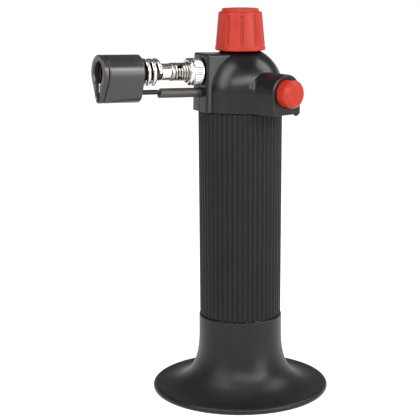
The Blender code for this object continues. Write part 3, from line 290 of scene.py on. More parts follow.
def helix(name, node, axes, turns, steps, columns):
    """A helix (R cos t, R sin t, rise t) of round wire from one end of a CAD node to the other, with so many steps to
    a turn."""
    low, high = span(node, axes)
    wire = (high[0] - radii(node, axes)[0]) / 2
    reach = high[0] - wire
    turn = np.linspace(0, TAU * turns, int(steps * turns) + 1)
    height = np.linspace(low[2] + wire, high[2] - wire, len(turn))
    path = np.column_stack([reach * np.cos(turn), reach * np.sin(turn), height])
    return swept(name, path, wire, axes, columns)


def teardrop(tip, columns, top_share=0.66):
    """Centre, radius and outward normal round the shroud's outline: a big circle on the axis and a small one of the
    tip's radius below it, joined by their common tangents. A point inset by d is centre + (radius - d) * normal."""
    low, high = span("shroud_body", BURNER)
    big = high[0]
    drop = -low[1] - tip
    lean = math.asin((big - tip) / drop)
    share = int(columns * top_share)
    top = np.linspace(-lean, math.pi + lean, share)
    foot = np.linspace(math.pi + lean, TAU - lean, columns - share)
    turn = np.concatenate([top, foot])
    centre = np.zeros((columns, 2))
    centre[share:, 1] = -drop
    radius = np.where(np.arange(columns) < share, big, tip)
    return centre, radius, np.column_stack([np.cos(turn), np.sin(turn)])


def teardrop_solid(name, line, tips, columns=128):
    """A solid of the shroud's outline whose (inset, distance along the burner) line runs from front to back, with a
    tip radius for each of its rows."""
    rows = []
    for (inset, along), tip in zip(line, tips):
        centre, radius, normal = teardrop(tip, columns)
        flat = centre + (radius - inset)[:, None] * normal
        rows.append(np.column_stack([flat, np.full(columns, along)]))
    return add_surface(name, np.stack(rows), BURNER, caps=True)


def combine(piece, other, operation="DIFFERENCE"):
    """Cuts or joins with another solid, which is used up, and keeps the result as the piece's own mesh."""
    step = piece.modifiers.new(operation.lower(), "BOOLEAN")
    step.operation = operation
    step.solver = "MANIFOLD"
    step.object = other
    graph = bpy.context.evaluated_depsgraph_get()
    result = bpy.data.meshes.new_from_object(piece.evaluated_get(graph))
    piece.modifiers.clear()
    piece.data = result
    bpy.data.objects.remove(other)
    smooth(piece)


def solid_box(name, low, high, axes, rounding=0.0, segments=4):
    """A box between two corners, its edges rounded by the rounding."""
    shape = bmesh.new()
    bmesh.ops.create_cube(shape, size=1.0)
    low, high = np.array(low, float), np.array(high, float)
    for vertex in shape.verts:
        vertex.co = Vector((low + high) / 2 + np.array(vertex.co) * (high - low))
    if rounding:
        bmesh.ops.bevel(
            shape, geom=shape.edges, offset=rounding, segments=segments, profile=0.5, affect="EDGES", clamp_overlap=True
        )
    return from_shape(name, shape, axes)


def from_shape(name, shape, axes):
    """A piece from a bmesh, which is used up, carried from the axes' coordinates to the world's."""
    mesh = bpy.data.meshes.new(name)
    shape.to_mesh(mesh)
    shape.free()
    points = np.empty(len(mesh.vertices) * 3, np.float32)
    mesh.vertices.foreach_get("co", points)
    placed = points.reshape(-1, 3) @ axes[:3, :3].T + axes[:3, 3]
    mesh.vertices.foreach_set("co", placed.ravel().astype(np.float32))
    mesh.update()
    piece = bpy.data.objects.new(name, mesh)
    bpy.context.scene.collection.objects.link(piece)
    smooth(piece)
    return piece


def solid_rod(name, radius, low, high, axes, columns=48, place=(0, 0)):
    """A plain round solid along the axes' Z, off centre by place."""
    line = np.array([(0, high), (radius, high), (radius, low), (0, low)])
    grid = revolve(line, columns)
    grid[..., :2] += np.array(place)
    return add_surface(name, grid, axes)


def arch_solid(name, half_width, floor, low, high, rounding, axes, fillet=0.0, columns=72):
    """A flat-bottomed arch about the axis, carried along it. At its rim the outline is drawn in by r (1 - sin a)
    while the height drops by r (1 - cos a). Towards its foot its sides swing out by R (1 - cos t) while the height
    drops by R sin t, an arc of the fillet's radius R that ends touching the head's skirt."""
    turn = np.linspace(0, math.pi, columns)
    arc = half_width * np.column_stack([np.cos(turn), np.sin(turn)])
    base = np.column_stack([np.linspace(-half_width, half_width, 16), np.full(16, floor)])
    outline = np.vstack([arc, base])
    quarter = np.linspace(0, math.pi / 2, 6)
    inset = rounding * (1 - np.sin(quarter)) if rounding else np.zeros(1)
    along = high - rounding * (1 - np.cos(quarter)) if rounding else np.array([high])
    swing = np.zeros(len(inset))
    if fillet:
        skirt = head_sizes()["radius"]
        start = math.sqrt((skirt + fillet) ** 2 - (half_width + fillet) ** 2)
        bend = np.linspace(0, math.atan2(start, half_width + fillet), 20)
        inset = np.concatenate([inset, np.zeros(20)])
        along = np.concatenate([along, start - fillet * np.sin(bend)])
        swing = np.concatenate([swing, fillet * (1 - np.cos(bend))])
    inset, along, swing = np.append(inset, 0), np.append(along, low), np.append(swing, swing[-1])
    scale = (half_width - inset) / half_width
    upper = outline[:, 1] >= 0
    level = np.where(upper, np.sqrt(np.clip(1 - (outline[:, 1] / half_width) ** 2, 0, 1)), 1)
    side = outline[:, 0] / half_width
    across = outline[None, :, 0] * scale[:, None] + swing[:, None] * side * level
    rise = np.where(upper, outline[:, 1] * scale[:, None], outline[:, 1] + inset[:, None])
    grid = np.dstack([across, rise, np.broadcast_to(along[:, None], across.shape)])
    return add_surface(name, grid, axes, caps=True)


# ---------------------------------------------------------------- finishes


class Recipe:
    """A node material being put together: each call adds one node and returns its main output."""

    def __init__(self, name):
        self.material = bpy.data.materials.new(name)
        self.material.use_nodes = True
        self.nodes = self.material.node_tree.nodes
        self.links = self.material.node_tree.links
        self.shader = self.nodes["Principled BSDF"]
        self.place = self.nodes.new("ShaderNodeTexCoord").outputs["Object"]

    def plug(self, socket, value):
        """Links a socket to another node's output, or sets a plain value on the socket itself."""
        if isinstance(value, bpy.types.NodeSocket):
            self.links.new(value, socket)
        else:
            socket.default_value = value

    def add(self, kind, output, inputs, **settings):
        """Adds a node, plugs its inputs and returns one of its outputs."""
        node = self.nodes.new(kind)
        for key, value in settings.items():
            setattr(node, key, value)
        for key, value in inputs.items():
            self.plug(node.inputs[key], value)
        return node.outputs[output]

    def stretched(self, scale, turn=(0, 0, 0)):
        """Object coordinates turned and scaled unevenly, for marks that run one way."""
        return self.add("ShaderNodeMapping", 0, {"Vector": self.place, "Scale": scale, "Rotation": turn})

    def noise(self, scale, detail=3.0, vector=None):
        inputs = {"Vector": vector or self.place, "Scale": scale, "Detail": detail}
        return self.add("ShaderNodeTexNoise", "Fac", inputs)

    def spread(self, value, low, high, start=0.0, end=1.0):
        """Carries a value from the range low to high over to the range start to end, and clamps it."""
        inputs = {"Value": value, "From Min": low, "From Max": high, "To Min": start, "To Max": end}
        return self.add("ShaderNodeMapRange", 0, inputs)

    def maths(self, operation, first, second):
        return self.add("ShaderNodeMath", 0, {0: first, 1: second}, operation=operation)

    def mix(self, share, first, second):
        """Mixes two colours; the node's first socket is its share, the seventh and eighth are the colours."""
        return self.add("ShaderNodeMix", 2, {0: share, 6: first, 7: second}, data_type="RGBA")

    def bump(self, height, distance, strength=1.0, normal=None):
        inputs = {"Height": height, "Distance": distance, "Strength": strength}
        if normal is not None:
            inputs["Normal"] = normal
        return self.add("ShaderNodeBump", 0, inputs)

    def attribute(self, name):
        return self.add("ShaderNodeAttribute", "Fac", {}, attribute_name=name)

    def finish(self, **inputs):
        """Plugs the shader's own sockets, underscores standing for the spaces in their names."""
        for key, value in inputs.items():
            self.plug(self.shader.inputs[key.replace("_", " ")], value)
        return self.material


def shade(rgb, factor):
    """The colour made lighter or darker by the factor, with full alpha."""
    return (*(min(1.0, part * factor) for part in rgb), 1.0)


def moulded(name, rgb, roughness, grain, grain_depth, sheen=0.5, polish=None, wander=0.06):
    """Moulded plastic: a fine grain, broad patches of handling that change its roughness and tone a little, and
    sparse hairline scratches. polish names a mesh attribute whose high values are rubbed smoother and lighter."""
    recipe = Recipe(name)
    patches = recipe.noise(70, 4)
    fine = recipe.noise(grain, 3)
    drift = recipe.noise(1.0, 5, recipe.stretched((260, 260, 2600), (0.5, 0.3, 0.2)))
    hairs = recipe.spread(drift, 0.72, 0.8)
    tone = recipe.spread(patches, 0.35, 0.7)
    base = recipe.mix(tone, shade(rgb, 0.88), shade(rgb, 1.14))
    rough = recipe.spread(patches, 0.3, 0.7, roughness - wander, roughness + wander)
    rough = recipe.maths("ADD", rough, recipe.maths("MULTIPLY", hairs, 0.08))
    if polish:
        crest = recipe.attribute(polish)
        worn = recipe.maths("MULTIPLY", crest, recipe.spread(patches, 0.3, 0.65, 0.45, 1.0))
        base = recipe.mix(worn, base, shade(rgb, 1.9))
        rough = recipe.maths("SUBTRACT", rough, recipe.maths("MULTIPLY", worn, 0.1))
    height = recipe.maths("ADD", recipe.maths("MULTIPLY", hairs, -0.4), fine)
    normal = recipe.bump(height, grain_depth)
    normal = recipe.bump(recipe.noise(160, 2), 0.03 * MM, 0.6, normal)
    return recipe.finish(Base_Color=base, Roughness=rough, Normal=normal, Specular_IOR_Level=sheen, IOR=1.5)


def red_plastic(name, rgb):
    """Semi-gloss red plastic that lets a little light in, with an orange-peel surface and shade painted darker into its
    hollows.
    """
    recipe = Recipe(name)
    patches = recipe.noise(110, 4)
    base = recipe.mix(recipe.spread(patches, 0.3, 0.7), shade(rgb, 0.9), shade(rgb, 1.08))
    # painted shade: the colour darkens where the mesh marks a hollow, such as a groove
    hollow = recipe.attribute("hollow")
    base = recipe.mix(recipe.maths("MULTIPLY", hollow, 0.5), base, shade(rgb, 0.55))
    rough = recipe.spread(patches, 0.3, 0.7, 0.36, 0.48)
    normal = recipe.bump(recipe.noise(900, 2), 0.006 * MM, 0.8)
    normal = recipe.bump(recipe.noise(5200, 2), 0.003 * MM, 0.6, normal)
    return recipe.finish(
        Base_Color=base,
        Roughness=rough,
        Normal=normal,
        Subsurface_Weight=0.12,
        Subsurface_Radius=(0.004, 0.0012, 0.0008),
        Subsurface_Scale=0.4,
        Specular_IOR_Level=0.22,
    )


def plated(name, rgb, roughness, marks=2600.0, grime=0.3, tint=(0.2, 0.17, 0.13)):
    """Plated or turned metal: fine tool marks, a roughness that wanders, a faint brownish film in patches, and shade
    painted nearly black into the hollows that the mesh marks."""
    recipe = Recipe(name)
    patches = recipe.noise(190, 5)
    film = recipe.maths("MULTIPLY", recipe.spread(patches, 0.52, 0.78), grime)
    base = recipe.mix(film, shade(rgb, 1.0), (*tint, 1.0))
    # painted shade: the colour turns nearly black in the hollows that the mesh marks
    hollow = recipe.spread(recipe.attribute("hollow"), 0.35, 1.0, 0.0, 0.93)
    base = recipe.mix(hollow, base, (0.02, 0.018, 0.016, 1.0))
    lines = recipe.noise(1.0, 4, recipe.stretched((marks / 12, marks, marks / 12), (0, 0, 0)))
    rough = recipe.spread(lines, 0.3, 0.7, roughness * 0.75, roughness * 1.35)
    rough = recipe.maths("ADD", rough, recipe.maths("MULTIPLY", film, 0.3))
    normal = recipe.bump(lines, 0.004 * MM, 0.7)
    return recipe.finish(Base_Color=base, Roughness=rough, Normal=normal, Metallic=1.0)


def heated_steel(name, rgb):
    """Thin steel near the flame, straw to blue-grey where it has been hot."""
    recipe = Recipe(name)
    patches = recipe.noise(260, 4)
    straw = recipe.mix(recipe.spread(patches, 0.35, 0.6), shade(rgb, 1.0), (0.06, 0.04, 0.028, 1.0))
    base = recipe.mix(recipe.spread(patches, 0.55, 0.75), straw, (0.025, 0.028, 0.04, 1.0))
    rough = recipe.spread(patches, 0.3, 0.7, 0.28, 0.5)
    normal = recipe.bump(recipe.noise(3000, 3), 0.006 * MM, 0.6)
    return recipe.finish(Base_Color=base, Roughness=rough, Normal=normal, Metallic=1.0)


def soft_matter(name, rgb, roughness, scale, depth):
    """Rubber, nylon, glazed ceramic or cotton: an even colour with a grain of its own size."""
    recipe = Recipe(name)
    patches = recipe.noise(300, 4)
    base = recipe.mix(recipe.spread(patches, 0.3, 0.7), shade(rgb, 0.85), shade(rgb, 1.12))
    rough = recipe.spread(patches, 0.3, 0.7, roughness - 0.08, min(1.0, roughness + 0.08))
    normal = recipe.bump(recipe.noise(scale, 4), depth, 0.8)
    return recipe.finish(Base_Color=base, Roughness=rough, Normal=normal)


FINISHES = {}


def finish(slot):
    """The material of one of the record's slots, made once."""
    if slot not in FINISHES:
        shades = bpy.context.scene.torch_colours
        makers = {
            "satin_black": lambda: moulded(slot, shades.satin_black, 0.4, 5200, 0.012 * MM, 0.21),
            "grip_grey": lambda: moulded(slot, shades.grip_grey, 0.5, 6500, 0.02 * MM, 0.14, "crest"),
            "gloss_black": lambda: moulded(slot, shades.gloss_black, 0.28, 2600, 0.0015 * MM, 0.33, None, 0.04),
            "red": lambda: red_plastic(slot, shades.red),
            "nickel": lambda: plated(slot, shades.nickel, 0.17),
            "steel": lambda: plated(slot, (0.56, 0.56, 0.57), 0.3, 1800.0),
            "brass": lambda: plated(slot, (0.78, 0.58, 0.27), 0.24, 2200.0, 0.4, (0.25, 0.15, 0.05)),
            "copper": lambda: plated(slot, (0.75, 0.42, 0.28), 0.32, 1500.0, 0.45, (0.2, 0.1, 0.06)),
            "rubber": lambda: soft_matter(slot, (0.018, 0.018, 0.018), 0.75, 4000, 0.01 * MM),
            "nylon": lambda: soft_matter(slot, (0.55, 0.53, 0.47), 0.45, 3500, 0.006 * MM),
            "ceramic": lambda: soft_matter(slot, (0.78, 0.76, 0.7), 0.22, 1500, 0.004 * MM),
            "cotton": lambda: soft_matter(slot, (0.68, 0.64, 0.54), 0.92, 2600, 0.12 * MM),
            "threaded": lambda: plated(slot, (0.42, 0.39, 0.35), 0.26, 2200.0, 0.5),
            "hood": lambda: moulded(slot, (0.02, 0.0185, 0.018), 0.27, 4200, 0.006 * MM, 0.5),
            "sleeve": lambda: moulded(slot, (0.034, 0.028, 0.026), 0.42, 4200, 0.01 * MM, 0.4),
            "heated": lambda: heated_steel(slot, (0.075, 0.07, 0.065)),
        }
        FINISHES[slot] = makers[slot]()
    return FINISHES[slot]


def settle(piece, body, slot, *nodes, look=None):
    """Gives a new piece its finish and its body, and hides the CAD nodes that it stands for."""
    piece.data.materials.clear()
    piece.data.materials.append(finish(look or slot))
    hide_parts(*nodes)
    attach(piece, body)


# ---------------------------------------------------------------- fixed sizes of the moulded forms

FLARE_POINTS = 56
FLARE_CROWDING = 0.9  # below 1, the flare's rows crowd towards the rim
STAND_WALL = 1.9 * MM
FOOT_WIDTH = 1.6 * MM
RIB_FIRMNESS = 1.6
RIB_STEPS = 12
TANK_SHEET = 1.4 * MM
TANK_ROUND = 2 * MM
FILLER_FLANGE = 1.5 * MM
DOME_SKIRT = 8.75 * MM
HEAD_WALL = 2.0 * MM
BLOCK_HALF_WIDTH = 6.9 * MM
BLOCK_DROP = 1.2 * MM
BLOCK_ROUND = 0.9 * MM
PARTING = 0.15 * MM  # each half of the head keeps this far from the parting plane
FAR = 60 * MM  # beyond every face of the head
TOWER_HALF_WIDTH = 8.2 * MM
TOWER_WALL = 1.2 * MM
TOWER_FACE_WALL = 2.0 * MM
TOWER_ROUND = 0.7 * MM
TOWER_FILLET = 4.5 * MM
TOWER_FOOT = 1.3 * MM
BOSS_RADIUS = 2.8 * MM
PILOT_RADIUS = 1.2 * MM
SINK_RADIUS = 2.0 * MM
SCREW_HEAD_HEIGHT = 1.3 * MM
SCREW_HEAD_RADIUS = 1.7 * MM
SCREW_RADIUS = 0.9 * MM
CROSS = (1.05 * MM, 0.24 * MM)  # half length and half width of the recess's blades
CROSS_DEPTH = 0.8 * MM
KNOB_SHOULDER = 0.9 * MM
KNOB_SKIRT = 1.6 * MM
KNOB_HUB = 2.2 * MM
KNOB_SCREW_WAY = 2.9 * MM
CAP_STEP = 0.4 * MM
BUTTON_CHAMFER = 1.45 * MM
BUTTON_WALL = 1.0 * MM
BUTTON_ROOF = 2.1 * MM
KNURL_STEPS = 8
RIM_WIDTH = 1.55 * MM
RIM_GROOVE = 0.35 * MM
# the collar's inner groove: where it starts and ends behind the collar's front, and its depth
RING_SEAT = (0.9 * MM, 2.4 * MM, 0.91 * MM)
THREAD_ROWS = 230
THREAD_COLUMNS = 80
AIR_HOLE_RADIUS = 1.25 * MM
AIR_HOLE_PLACE = 11.2 * MM  # in front of the head's block
SPRING_TURNS = 4
SHROUD_TIP_RADIUS = 2.4 * MM
SHROUD_BACK_TIP = 5.6 * MM
SHROUD_WALL = 1.5 * MM
KEYHOLE_RADIUS = 5.0 * MM
KEYHOLE_SLOT = 2.0 * MM
KEYHOLE_FLARE = 0.55 * MM
SLEEVE_CUT = 2.4 * MM
SLEEVE_SLANT = 0.9 * MM
SPARK_BEND = 1.2 * MM


def base_stand():
    """A surface of revolution: a straight neck, then r = neck + reach (1 - cos^p t), z = low + flare (1 - sin^p t)
    for t from 0 to a quarter turn, a half-round bead, and the same flare set in by the wall underneath."""
    sizes = bpy.context.scene.torch_sizes
    rim, _, top = span("base_stand", TORCH)[1]
    bead = sizes.rim_bead
    bore, _ = radii("base_stand", TORCH)
    _, neck = radii("base_stand", TORCH, top - 1 * MM)
    turn = math.pi / 2 * np.linspace(0, 1, FLARE_POINTS) ** FLARE_CROWDING
    power = sizes.flare_power
    across = neck + (rim - bead - neck) * (1 - np.cos(turn) ** power)
    height = 2 * bead + sizes.flare_height * (1 - np.sin(turn) ** power)
    flare = np.column_stack([across, height])
    around = np.linspace(math.pi / 2, -math.pi / 2, 14)[1:]
    lip = np.column_stack([rim - bead + bead * np.cos(around), bead + bead * np.sin(around)])
    run = unit_rows(np.gradient(flare, axis=0))
    under = flare + STAND_WALL * np.column_stack([run[:, 1], -run[:, 0]])
    foot = rim - bead - FOOT_WIDTH
    under = under[(under[:, 0] > bore + 0.3 * MM) & (under[:, 0] < foot - 2 * STAND_WALL)][::-1]
    inside = np.array([(foot, 0), (foot - 0.4 * MM, 0.4 * MM), (foot - STAND_WALL, under[0, 1])])
    neck_line = np.array([(bore, under[-1, 1] + STAND_WALL), (bore, top)])
    edge = rounded([(bore, top, 0), (neck, top, 0.45 * MM), (neck, flare[0, 1], 0)], 6)[1:-1]
    line = np.vstack([edge, flare, lip, inside, under, neck_line])
    piece = add_surface("stand", revolve(line, 192), TORCH, loop_rows=True)
    settle(piece, "torch", "satin_black", "base_stand")


def grip():
    """A ribbed sleeve: radius = R(z) - depth (1 - w) / 2 with w = tanh(k cos(n t)) / tanh(k), which gives rounded
    crests, on a wall that widens evenly upwards. crest holds how near a point is to the top of its rib."""
    sizes = bpy.context.scene.torch_sizes
    low, high = span("grip_sleeve", TORCH)
    bore, top_radius = radii("grip_sleeve", TORCH)
    _, low_radius = radii("grip_sleeve", TORCH, -1, low[2] + 1 * MM)
    columns = sizes.rib_count * RIB_STEPS
    turn = np.arange(columns) * TAU / columns
    wave = np.tanh(RIB_FIRMNESS * np.cos(sizes.rib_count * turn)) / math.tanh(RIB_FIRMNESS)
    share = np.concatenate([[0, 0.001, 0.003], np.linspace(0.006, 0.994, 15), [0.997, 0.999, 1]])
    inset = np.zeros(len(share))
    inset[[0, -1]], inset[[1, -2]], inset[[2, -3]] = 0.5 * MM, 0.16 * MM, 0.03 * MM
    height = high[2] + (low[2] - high[2]) * share
    wall = top_radius + (low_radius - top_radius) * share - inset
    radius = wall[:, None] - sizes.rib_depth * (1 - wave) / 2
    inner = np.full((2, len(turn)), bore)
    radius = np.vstack([radius, inner])
    height = np.concatenate([height, [low[2], high[2]]])
    grid = np.dstack([radius * np.cos(turn), radius * np.sin(turn), np.repeat(height[:, None], len(turn), 1)])
    crest = np.vstack([np.tile((1 + wave) / 2, (len(share), 1)), inner * 0]) ** 3
    piece = add_surface("grip", grid, TORCH, loop_rows=True, attribute=("crest", crest))
    settle(piece, "torch", "grip_grey", "grip_sleeve")


def tank_and_refill_valve():
    """The fuel can with its pressed neck and bottom, and the filler valve's body and stem under it, all turned."""
    low, high = span("fuel_tank", TORCH)
    wall = high[0]
    port, _ = radii("fuel_tank", TORCH, low[2] - 1 * MM, low[2] + 0.1 * MM)
    neck_in, neck = radii("fuel_tank", TORCH, high[2] - 0.1 * MM)
    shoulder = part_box("grip_sleeve")[1].z - 0.4 * MM
    sheet = TANK_SHEET
    corners = [
        (neck, high[2], 0.3 * MM),
        (neck, shoulder, 0.3 * MM),
        (wall, shoulder, TANK_ROUND),
        (wall, low[2], TANK_ROUND),
        (port + 4.6 * MM, low[2], 0.4 * MM),
        (port + 4.2 * MM, low[2] + 0.35 * MM, 0.4 * MM),
        (port, low[2] + 0.35 * MM, 0),
        (port, low[2] + sheet, 0),
        (wall - sheet, low[2] + sheet, 0.8 * MM),
        (wall - sheet, shoulder - TANK_ROUND, 0.3 * MM),
        (neck_in, shoulder - sheet, 0),
        (neck_in, high[2], 0),
    ]
    settle(turned("tank", corners, TORCH, 128, ring=True), "torch", "steel", "fuel_tank")
    low, high = span("refill_valve_body", TORCH)
    hole, flange = radii("refill_valve_body", TORCH, low[2] - 1 * MM, low[2] + 0.1 * MM)
    bore, barrel = radii("refill_valve_body", TORCH, high[2] - 0.1 * MM)
    flange_top = low[2] + FILLER_FLANGE
    corners = [
        (barrel, high[2], 0.3 * MM),
        (barrel, flange_top, 0.1 * MM),
        (flange, flange_top, 0.2 * MM),
        (flange, low[2], 0.35 * MM),
        (hole + 0.9 * MM, low[2], 0.1 * MM),
        (hole, low[2] + 0.7 * MM, 0.1 * MM),
        (hole, flange_top + 0.5 * MM, 0),
        (bore, flange_top + 0.5 * MM, 0),
        (bore, high[2], 0.2 * MM),
    ]
    settle(turned("refill_valve", corners, TORCH, 72, ring=True), "torch", "brass", "refill_valve_body")


# ---------------------------------------------------------------- head


def dome_line(radius, top, centre, low):
    """Half section of the dome: a flat top, an arc about the centre and a straight skirt."""
    start = math.asin((top - centre) / radius)
    turn = np.linspace(start, 0, 40)
    side = np.column_stack([radius * np.cos(turn), centre + radius * np.sin(turn)])
    return np.vstack([[(0, top)], side, [(radius, low), (0, low)]])


def head_sizes():
    """Bottom, top and dome radius of the head on the torch's axis, and how far its block and its tower reach."""
    low, high = span("head_shell_right", TORCH)
    front = span("head_shell_right", BURNER)[1][2]
    reach = span("head_shell_left", BUTTON)[1][2]
    return {"low": low[2], "top": high[2], "radius": -low[0], "front": front, "reach": reach}


def screw_place(node):
    """Place along Y, height, outer end and seat of a head screw, which lies along X on the far side."""
    low, high = span(node, TORCH)
    return (low[1] + high[1]) / 2, (low[2] + high[2]) / 2, -low[0], -low[0] - SCREW_HEAD_HEIGHT


def head_outside(side, size):
    """The dome joined with its front block and, on the left half, with the button's tower."""
    line = dome_line(size["radius"], size["top"], size["low"] + DOME_SKIRT, size["low"] - PAST)
    shell = add_surface("head_" + side, revolve(line, 160), TORCH)
    nozzle, half = BURNER[2, 3], BLOCK_HALF_WIDTH
    low, high = size["low"] - nozzle - 2 * PAST, size["top"] - BLOCK_DROP - nozzle
    block = solid_box("block", (-half, low, -PAST), (half, high, size["front"]), BURNER, BLOCK_ROUND, 6)
    combine(shell, block, "UNION")
    if side == "left":
        floor = size["low"] - BUTTON[2, 3] - PAST
        ends = (0, size["reach"], TOWER_ROUND)
        combine(shell, arch_solid("tower", TOWER_HALF_WIDTH, floor, *ends, BUTTON, TOWER_FILLET), "UNION")
    return shell


def head_rooms(shell, side, size):
    """Hollows the dome, the block and the tower behind their walls, and opens the button's way."""
    line = dome_line(
        size["radius"] - HEAD_WALL, size["top"] - HEAD_WALL, size["low"] + DOME_SKIRT, size["low"] - 5 * MM
    )
    combine(shell, add_surface("room", revolve(line, 96), TORCH))
    nozzle, half = BURNER[2, 3], BLOCK_HALF_WIDTH - HEAD_WALL
    low = size["low"] - nozzle - 3 * PAST
    high = size["top"] - BLOCK_DROP - nozzle - HEAD_WALL - GAP
    combine(shell, solid_box("block_room", (-half, low, 0), (half, high, size["front"] - HEAD_WALL), BURNER))
    if side == "left":
        cavity, floor = TOWER_HALF_WIDTH - TOWER_WALL, size["low"] - BUTTON[2, 3] + TOWER_WALL
        inner_end = size["reach"] - TOWER_FACE_WALL
        combine(shell, arch_solid("tower_room", cavity, floor, 8 * MM, inner_end, 0, BUTTON))
        hole = radii("ignition_button", BUTTON, size["reach"])[1] + GAP
        combine(shell, solid_rod("button_way", hole, size["reach"] - 4 * MM, size["reach"] + PAST, BUTTON, 96))


def head_ways(shell, size):
    """Bores the ways of the spindle, the burner and the lead."""
    spindle = radii("valve_spindle", TORCH, size["top"])[1] + 0.7 * MM
    combine(shell, solid_rod("spindle_way", spindle, size["top"] - 4 * MM, size["top"] + PAST, TORCH))
    for label, node in (("burner_way", "mixer_tube"), ("lead_way", "lead_sleeve")):
        low, high = span(node, BURNER)
        radius = (high[0] - low[0]) / 2 + GAP
        ends = (size["front"] - 5 * MM, size["front"] + PAST)
        combine(shell, solid_rod(label, radius, *ends, BURNER, 72, (0, (low[1] + high[1]) / 2)))


def screw_bosses(shell, side, size):
    """Adds the bosses that the screws hold together, with their pilot holes and, on the right half, their sinks."""
    for node in ("head_screw_rear", "head_screw_front"):
        y, z, _, seat = screw_place(node)
        across = axes_at((0, AXIS_Y + y, z), (1 if side == "left" else -1, 0, 0))
        wall = math.sqrt((size["radius"] - GAP) ** 2 - (abs(y) + BOSS_RADIUS) ** 2)
        combine(shell, solid_rod("boss", BOSS_RADIUS, 0, wall, across, 40), "UNION")
        combine(shell, solid_rod("pilot", PILOT_RADIUS, -1 * MM, seat - PAST, across, 24))
        if side == "right":
            combine(shell, solid_rod("screw_way", PILOT_RADIUS, seat - 3 * MM, seat + 1 * MM, across, 24))
            combine(shell, solid_rod("screw_sink", SINK_RADIUS, seat, size["radius"] + 1 * MM, across, 40))


def tower_foot(size):
    """The small ball under the tower's corner."""
    inset = TOWER_FOOT + 0.1 * MM
    floor = size["low"] - BUTTON[2, 3]
    shape = bmesh.new()
    bmesh.ops.create_uvsphere(shape, u_segments=32, v_segments=20, radius=TOWER_FOOT)
    place = Vector((TOWER_HALF_WIDTH - inset, floor + 0.2 * MM, size["reach"] - inset))
    bmesh.ops.translate(shape, verts=shape.verts, vec=place)
    return from_shape("tower_foot", shape, BUTTON)


def head_shell(side):
    """One half of the head: the joined outside, hollowed, bored, and cut off at the parting plane."""
    size = head_sizes()
    shell = head_outside(side, size)
    head_rooms(shell, side, size)
    head_ways(shell, size)
    screw_bosses(shell, side, size)
    near = (PARTING, FAR) if side == "left" else (-FAR, -PARTING)
    keep = solid_box("keep", (near[0], -FAR, size["low"]), (near[1], FAR, size["top"] + FAR), TORCH)
    combine(shell, keep, "INTERSECT")
    if side == "left":
        combine(shell, tower_foot(size), "UNION")
    settle(shell, "torch", "gloss_black", "head_shell_" + side)


def head_screw(node):
    """A pan-head screw with a cross recess, turned about its own axis and cut by two crossed blades."""
    y, z, end, seat = screw_place(node)
    tip = -span(node, TORCH)[1][0]
    across = axes_at((0, AXIS_Y + y, z), (-1, 0, 0))
    head, under = SCREW_HEAD_RADIUS, seat + 0.15 * MM
    corners = [
        (0, end, 0),
        (head - 0.4 * MM, end, 0.3 * MM),
        (head, end - 0.5 * MM, 0.3 * MM),
        (head, under, 0),
        (SCREW_RADIUS, under, 0),
        (SCREW_RADIUS, tip + 0.6 * MM, 0),
        (0, tip, 0),
    ]
    piece = turned(node + "_turned", corners, across, 56)
    for x, y in (CROSS[::-1], CROSS):
        low, high = (-x, -y, end - CROSS_DEPTH), (x, y, end + 1 * MM)
        combine(piece, solid_box("blade", low, high, across, 0.08 * MM, 2))
    settle(piece, "torch", "steel", node)


# ---------------------------------------------------------------- knob, cap and button


def knob_section(low, high, crown, foot):
    """Half section of the knob as a loop: pocket, crown, tapered wall, skirt, hub, bore and the screw's seat."""
    tapped, _ = radii("gas_knob", TORCH)
    pocket, _ = radii("gas_knob", TORCH, high - 0.1 * MM)
    hub, _ = radii("gas_knob", TORCH, low - 1 * MM, low + 0.1 * MM)
    cap_seat = high - 1.5 * MM
    screw_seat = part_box("knob_screw")[1].z - 1.9 * MM
    corners = [
        (pocket, high, 0.15 * MM),
        (crown - KNOB_SHOULDER, high, 0.3 * MM),
        (crown, high - KNOB_SHOULDER, 0.45 * MM),
        (foot - 0.25 * MM, low + 1.5 * MM, 0.2 * MM),
        (foot, low + 1.1 * MM, 0.3 * MM),
        (foot, low, 0.5 * MM),
        (foot - KNOB_SKIRT, low, 0.1 * MM),
        (foot - KNOB_SKIRT, low + 1 * MM, 0),
        (hub + KNOB_HUB, low + 1 * MM, 0),
        (hub + KNOB_HUB, low, 0.2 * MM),
        (hub, low, 0),
        (hub, screw_seat - 2.2 * MM, 0),
        (tapped, screw_seat - 2.2 * MM, 0),
        (tapped, screw_seat, 0),
        (KNOB_SCREW_WAY, screw_seat, 0),
        (KNOB_SCREW_WAY, cap_seat, 0),
        (pocket, cap_seat, 0),
    ]
    return rounded(corners, 8)


